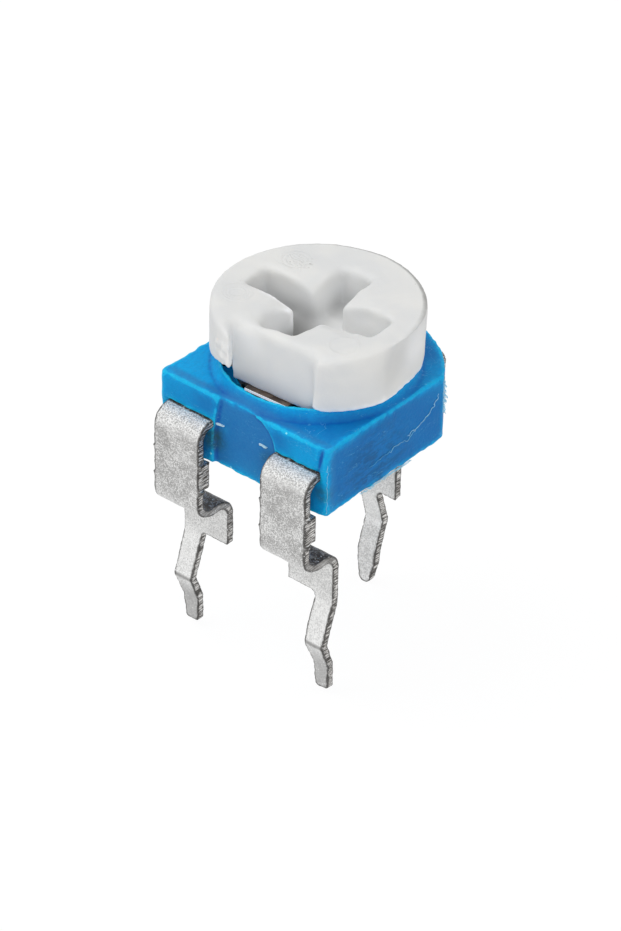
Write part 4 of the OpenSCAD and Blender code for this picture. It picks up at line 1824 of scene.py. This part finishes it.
def sweep_threads(name: str, routes: list[list[Vector]], thickness: float, seed: float,
                  whiteness: float) -> bpy.types.Object:
    """Makes one mesh of thin uneven threads.

    Args:
        name: The piece's name.
        routes: The points of each thread, in millimetres.
        thickness: The threads' middling radius.
        seed: Sets the pattern of thick and thin.
        whiteness: How white the threads look, from 0 to 1.

    Returns:
        The piece, in millimetres.
    """
    deselect_all()
    curve = bpy.data.curves.new(name, "CURVE")
    curve.dimensions = "3D"
    curve.bevel_depth = thickness
    curve.bevel_resolution = 2
    curve.use_fill_caps = True
    shift = Vector((seed, seed, seed))
    for route in routes:
        spline = curve.splines.new("POLY")
        spline.points.add(len(route) - 1)
        for point, place in zip(spline.points, route):
            point.co = (*place, 1.0)
            point.radius = 0.5 + 1.1 * abs(noise.noise(place * THREAD_WAVES + shift))
    piece = bpy.data.objects.new(name, curve)
    bpy.context.collection.objects.link(piece)
    take(piece)
    bpy.ops.object.convert(target="MESH")
    piece = bpy.context.object
    cloud = PointCloud(piece.data)
    cloud.store("edge", np.full(cloud.count, 1.0))
    cloud.store("flash", np.full(cloud.count, whiteness))
    bpy.ops.object.shade_smooth()
    return piece


@dataclass
class FlashThread:
    """A hair of mould flash that lies on the housing."""

    name: str
    route: tuple[Point, ...]
    thickness: float
    jitter: float
    seed: float
    whiteness: float
    step: float = 0.035
    lift: float = 0.012
    waves: float = 8.0

    def build(self, material: bpy.types.Material) -> None:
        """Makes the thread and puts it in its place.

        Args:
            material: The housing's finish.
        """
        piece = sweep_threads(self.name, [self._dense_route()], self.thickness, self.seed,
                              self.whiteness)
        set_down(piece, material, Body.BASE)

    def _dense_route(self) -> list[Vector]:
        """Fills in the route between its points, with small wanderings.

        Returns:
            The points of the thread.
        """
        points: list[Vector] = []
        shift = Vector((self.seed, self.seed, self.seed))
        stops = [Vector(stop) for stop in self.route]
        for first, last in zip(stops, stops[1:]):
            steps = max(2, int((last - first).length / self.step))
            for step in range(steps):
                point = first.lerp(last, step / steps)
                drift = noise.noise_vector(point * self.waves + shift) * self.jitter
                points.append(point + Vector((self.lift, drift.y, drift.z)))
        points.append(stops[-1])
        return points


@dataclass
class FlashFringe:
    """A ragged row of flash slivers along an edge of the housing."""

    name: str
    start: Point
    end: Point
    reach: Point
    count: int
    thickness: float
    seed: float
    whiteness: float = 0.9
    waves: float = 8.0

    def build(self, material: bpy.types.Material) -> None:
        """Makes the row and puts it in its place.

        Args:
            material: The housing's finish.
        """
        first = Vector(self.start)
        reach = Vector(self.reach)
        along = (Vector(self.end) - first) / self.count
        shift = Vector((self.seed, self.seed, self.seed))
        routes: list[list[Vector]] = []
        for index in range(self.count):
            base = first + along * index
            drawn = noise.noise_vector(base * self.waves + shift)
            tip = base + reach * (0.35 + 1.1 * abs(drawn.x)) + along * (0.8 + drawn.y)
            routes.append([base, base.lerp(tip, 0.6) + along * drawn.z, tip, tip + along * 0.7])
        piece = sweep_threads(self.name, routes, self.thickness, self.seed, self.whiteness)
        set_down(piece, material, Body.BASE)


@dataclass
class Internals:
    """The frame solids that keep their shape and only get finishes."""

    finishes: dict[str, bpy.types.Material]

    def dress(self) -> None:
        """Gives each frame solid its finish."""
        for node, material in self.finishes.items():
            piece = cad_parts[node]
            for material_slot in piece.material_slots:
                material_slot.material = material
            if not piece.material_slots:
                piece.data.materials.append(material)
            LOG.info("%s: finish %s", node, material.name)


# ----------------------------------------------------------------- the studio


@dataclass(frozen=True)
class SoftLamp:
    """A large square lamp that shines at the object."""

    name: str
    direction: Point
    size: float
    share: float
    distance: float = 0.35

    def build(self, target: Vector) -> None:
        """Hangs the lamp.

        Args:
            target: The point that it faces.
        """
        data = bpy.data.lights.new(self.name, "AREA")
        data.size = self.size
        data.energy = self.share * math.pi ** 2 * self.distance ** 2
        lamp = bpy.data.objects.new(self.name, data)
        toward = Vector(self.direction).normalized()
        lamp.location = target + toward * self.distance
        lamp.rotation_mode = "QUATERNION"
        lamp.rotation_quaternion = toward.to_track_quat("Z", "Y")
        bpy.context.collection.objects.link(lamp)


@dataclass
class Studio:
    """Camera, lamps, world and floor."""

    azimuth: float = 39.701
    elevation: float = 35.124
    roll: float = 1.132
    distance: float = 144.174
    focal: float = 4933.61
    long_side: int = 931
    sensor: float = 36.0
    aim_right: float = -0.118
    aim_up: float = 1.678
    world_strength: float = 0.57
    near_clip: float = 0.005
    far_clip: float = 5.0
    lamp_target: Point = (0.0, 0.0, 0.004)
    floor_gap: float = 0.01
    floor_size: float = 0.8
    paper_grey: float = 0.8
    shadow_grey: float = 0.09
    paper_glow: float = 0.93
    lamps: tuple[SoftLamp, ...] = (
        SoftLamp("lamp_key", (-0.70, -0.45, 1.20), 0.30, 0.38),
        SoftLamp("lamp_front", (0.75, -0.65, 0.35), 0.30, 0.28),
        SoftLamp("lamp_back", (0.60, 0.80, 1.10), 0.25, 0.08),
    )

    def make_camera(self) -> None:
        """Makes the camera and makes it the scene's."""
        turn = math.radians(self.azimuth)
        tilt = math.radians(self.elevation)
        roll = math.radians(self.roll)
        back = Vector((math.sin(turn) * math.cos(tilt), -math.cos(turn) * math.cos(tilt),
                       math.sin(tilt)))
        right = Vector((math.cos(turn), math.sin(turn), 0.0))
        up = back.cross(right)
        across = right * math.cos(roll) + up * math.sin(roll)
        along = up * math.cos(roll) - right * math.sin(roll)
        data = bpy.data.cameras.new("camera")
        data.sensor_fit = "AUTO"
        data.sensor_width = self.sensor
        data.lens = self.focal * self.sensor / self.long_side
        data.clip_start = self.near_clip
        data.clip_end = self.far_clip
        camera = bpy.data.objects.new("camera", data)
        bpy.context.collection.objects.link(camera)
        place = (right * self.aim_right + up * self.aim_up + back * self.distance) * MM
        turned = Matrix((across, along, back)).transposed().to_4x4()
        camera.matrix_world = Matrix.Translation(place) @ turned
        bpy.context.scene.camera = camera

    def make_surroundings(self) -> None:
        """Makes the lamps, the world and the floor."""
        bpy.context.scene.view_settings.view_transform = "Standard"
        for lamp in self.lamps:
            lamp.build(Vector(self.lamp_target))
        self._world()
        self._floor()

    def _seen(self, graph: Graph) -> Socket:
        """Tells which rays see the backdrop as plain white.

        Args:
            graph: The material's or the world's graph.

        Returns:
            1 for camera, glossy and transmitted rays, and 0 for the others.
        """
        path = graph.add("LightPath")
        shown = graph.maths("MAXIMUM", path.outputs["Is Camera Ray"], path.outputs["Is Glossy Ray"])
        return graph.maths("MAXIMUM", shown, path.outputs["Is Transmission Ray"])

    def _world(self) -> None:
        """Makes a plain white world that lights evenly."""
        world = bpy.data.worlds.new("studio")
        world.use_nodes = True
        bpy.context.scene.world = world
        graph = Graph(world.node_tree)
        background = world.node_tree.nodes["Background"]
        background.inputs["Color"].default_value = (1.0, 1.0, 1.0, 1.0)
        strength = graph.maths("MULTIPLY_ADD", self._seen(graph), 1.0 - self.world_strength,
                               self.world_strength)
        graph.feed(background.inputs["Strength"], strength)

    def _floor(self) -> None:
        """Makes a pale floor that keeps a faint shadow."""
        deselect_all()
        level = CAD_BOX[0].z - self.floor_gap * MM
        bpy.ops.mesh.primitive_plane_add(size=self.floor_size, location=(0.0, 0.0, level))
        floor = bpy.context.object
        floor.name = "floor"
        floor.data.materials.append(self._paper())

    def _paper(self) -> bpy.types.Material:
        """Builds the floor's finish, white where it is seen and grey where it lights.

        Returns:
            The material.
        """
        material = bpy.data.materials.new("floor_paper")
        material.use_nodes = True
        nodes = material.node_tree.nodes
        nodes.remove(nodes["Principled BSDF"])
        graph = Graph(material.node_tree)
        glow = graph.add("Emission")
        glow.inputs["Strength"].default_value = self.paper_glow
        shown = graph.add("AddShader")
        graph.feed(shown.inputs[0], self._matt(graph, self.shadow_grey))
        graph.feed(shown.inputs[1], glow.outputs[0])
        upper = self._mix(graph, self._seen(graph), self._matt(graph, self.paper_grey),
                          shown.outputs[0])
        surface = self._mix(graph, graph.add("NewGeometry").outputs["Backfacing"], upper,
                            graph.add("BsdfTransparent").outputs[0])
        graph.feed(nodes["Material Output"].inputs["Surface"], surface)
        return material

    @staticmethod
    def _matt(graph: Graph, grey: float) -> Socket:
        """Adds a plain matt shader.

        Args:
            graph: The material's graph.
            grey: How light it is, from 0 to 1.

        Returns:
            The shader's output.
        """
        node = graph.add("BsdfDiffuse")
        node.inputs["Color"].default_value = (grey, grey, grey, 1.0)
        return node.outputs[0]

    @staticmethod
    def _mix(graph: Graph, share: Socket, first: Socket, second: Socket) -> Socket:
        """Mixes two shaders.

        Args:
            graph: The material's graph.
            share: How much of the second shader shows.
            first: A shader's output.
            second: A shader's output.

        Returns:
            The mixed shader.
        """
        node = graph.add("MixShader")
        for index, value in enumerate((share, first, second)):
            graph.feed(node.inputs[index], value)
        return node.outputs[0]


# ------------------------------------------------------------------------ main


TERMINALS = (
    FormedTerminal("terminal_left", "terminal_sheet_left", pushes=(
        Push((-3.3, -3.5, 1.35), (-1.2, -3.5, 1.35), 0.45, (0.0, 0.0, 0.04)),
    )),
    FormedTerminal("terminal_right", "terminal_sheet_right", pushes=(
        Push((1.0, -3.5, 1.35), (2.9, -3.5, 1.35), 0.45, (0.0, 0.0, 0.04)),
        Push((2.3, -2.5, -0.9), (2.3, -2.5, -1.0), 0.75, (-0.04, 0.0, 0.0)),
    )),
    FormedTerminal("terminal_rear", "terminal_sheet_rear", pushes=(
        Push((0.35, 2.36, -0.02), (1.20, 2.36, -0.02), 0.45, (0.0, 0.0, -0.07)),
        Push((0.0, 2.4, -2.0), (0.0, 2.4, -3.4), 1.3, (-0.05, 0.0, -0.02)),
    )),
)
TONGUES = (
    TongueEnd("tongue_end_left", low_x=-1.14, high_x=-0.80, seed=3.0),
    TongueEnd("tongue_end_right", low_x=0.52, high_x=0.80, seed=8.0),
)
FLASH = (
    FlashThread(
        "flash_side",
        route=((3.1, 1.77, 5.10), (3.1, 1.43, 4.69), (3.1, 1.12, 4.50), (3.1, 0.68, 4.38),
               (3.1, 0.37, 4.34)),
        thickness=0.016, jitter=0.13, seed=0.0, whiteness=0.85),
    FlashThread(
        "flash_side_low",
        route=((3.1, 0.75, 4.36), (3.1, 0.37, 4.24), (3.1, -0.04, 4.30), (3.1, -0.43, 4.20)),
        thickness=0.012, jitter=0.12, seed=2.0, whiteness=0.55),
    FlashThread(
        "flash_side_end",
        route=((3.1, -0.30, 4.27), (3.1, -0.87, 4.15), (3.1, -1.31, 4.11)),
        thickness=0.008, jitter=0.10, seed=5.0, whiteness=0.30),
    FlashThread(
        "flash_corner",
        route=((3.085, -3.165, 5.15), (3.085, -3.165, 3.50)),
        thickness=0.010, jitter=0.07, seed=7.0, whiteness=0.5),
    FlashFringe(
        "flash_back_edge", start=(3.08, 1.96, 5.45), end=(3.08, 1.96, 4.30),
        reach=(0.11, 0.09, 0.0), count=30, thickness=0.016, seed=1.0),
    FlashFringe(
        "flash_low_edge", start=(3.09, -1.70, 3.42), end=(3.09, 0.55, 3.42),
        reach=(0.02, 0.02, -0.06), count=44, thickness=0.014, seed=3.0),
)
# Painted glint: the tongue ends take a pale non-metal colour that stands for the metal's shine.
TONGUE_GLINT = PlainMetal("tongue_glint", main=(214, 240, 250), dull=(136, 192, 214),
                        roughness=0.5, metallic=0.0)
RIVET_METAL = PlainMetal("rivet_metal", main=(200, 196, 186), dull=(160, 155, 146),
                         roughness=0.4)
PHENOLIC = PrintedLayer("phenolic_board", main=(104, 74, 50), speckle=(86, 58, 38),
                        roughness=0.6)
CARBON_INK = PrintedLayer("carbon_ink", main=(34, 33, 34), speckle=(52, 51, 52), roughness=0.7)
SILVER_INK = PrintedLayer("silver_ink", main=(205, 204, 200), speckle=(180, 179, 175),
                          roughness=0.4, metallic=0.7)


def dress_internals(effects: Effects) -> None:
    """Gives the frame solids that keep their shape their finishes.

    Args:
        effects: The shared groups.
    """
    ink = SILVER_INK.build(effects)
    rivet = RIVET_METAL.build(effects)
    Internals({
        "element_board": PHENOLIC.build(effects),
        "carbon_track": CARBON_INK.build(effects),
        "end_pad_left": ink,
        "end_pad_right": ink,
        "rivet_left": rivet,
        "rivet_right": rivet,
        "wiper": WiperSpring().build(effects),
    }).dress()


def write_sizes() -> None:
    """Brings the view layer up to date."""
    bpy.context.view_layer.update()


def main() -> None:
    """Builds the studio and every piece, in order."""
    logging.basicConfig(level=logging.INFO, format="%(name)s %(message)s")
    noise.seed_set(NOISE_SEED)
    studio = Studio()
    studio.make_camera()
    effects = Effects()
    blue = HousingPlastic().build(effects)
    white = RotorPlastic().build(effects)
    steel = TinnedSteel().build(effects)
    HousingShell().build(blue)
    RotorKnob().build(white)
    for terminal in TERMINALS:
        terminal.build(steel)
    bright = TONGUE_GLINT.build(effects)
    for tongue in TONGUES:
        tongue.build(bright)
    for strand in FLASH:
        strand.build(blue)
    dress_internals(effects)
    studio.make_surroundings()
    write_sizes()


if __name__ == "__main__":
    main()
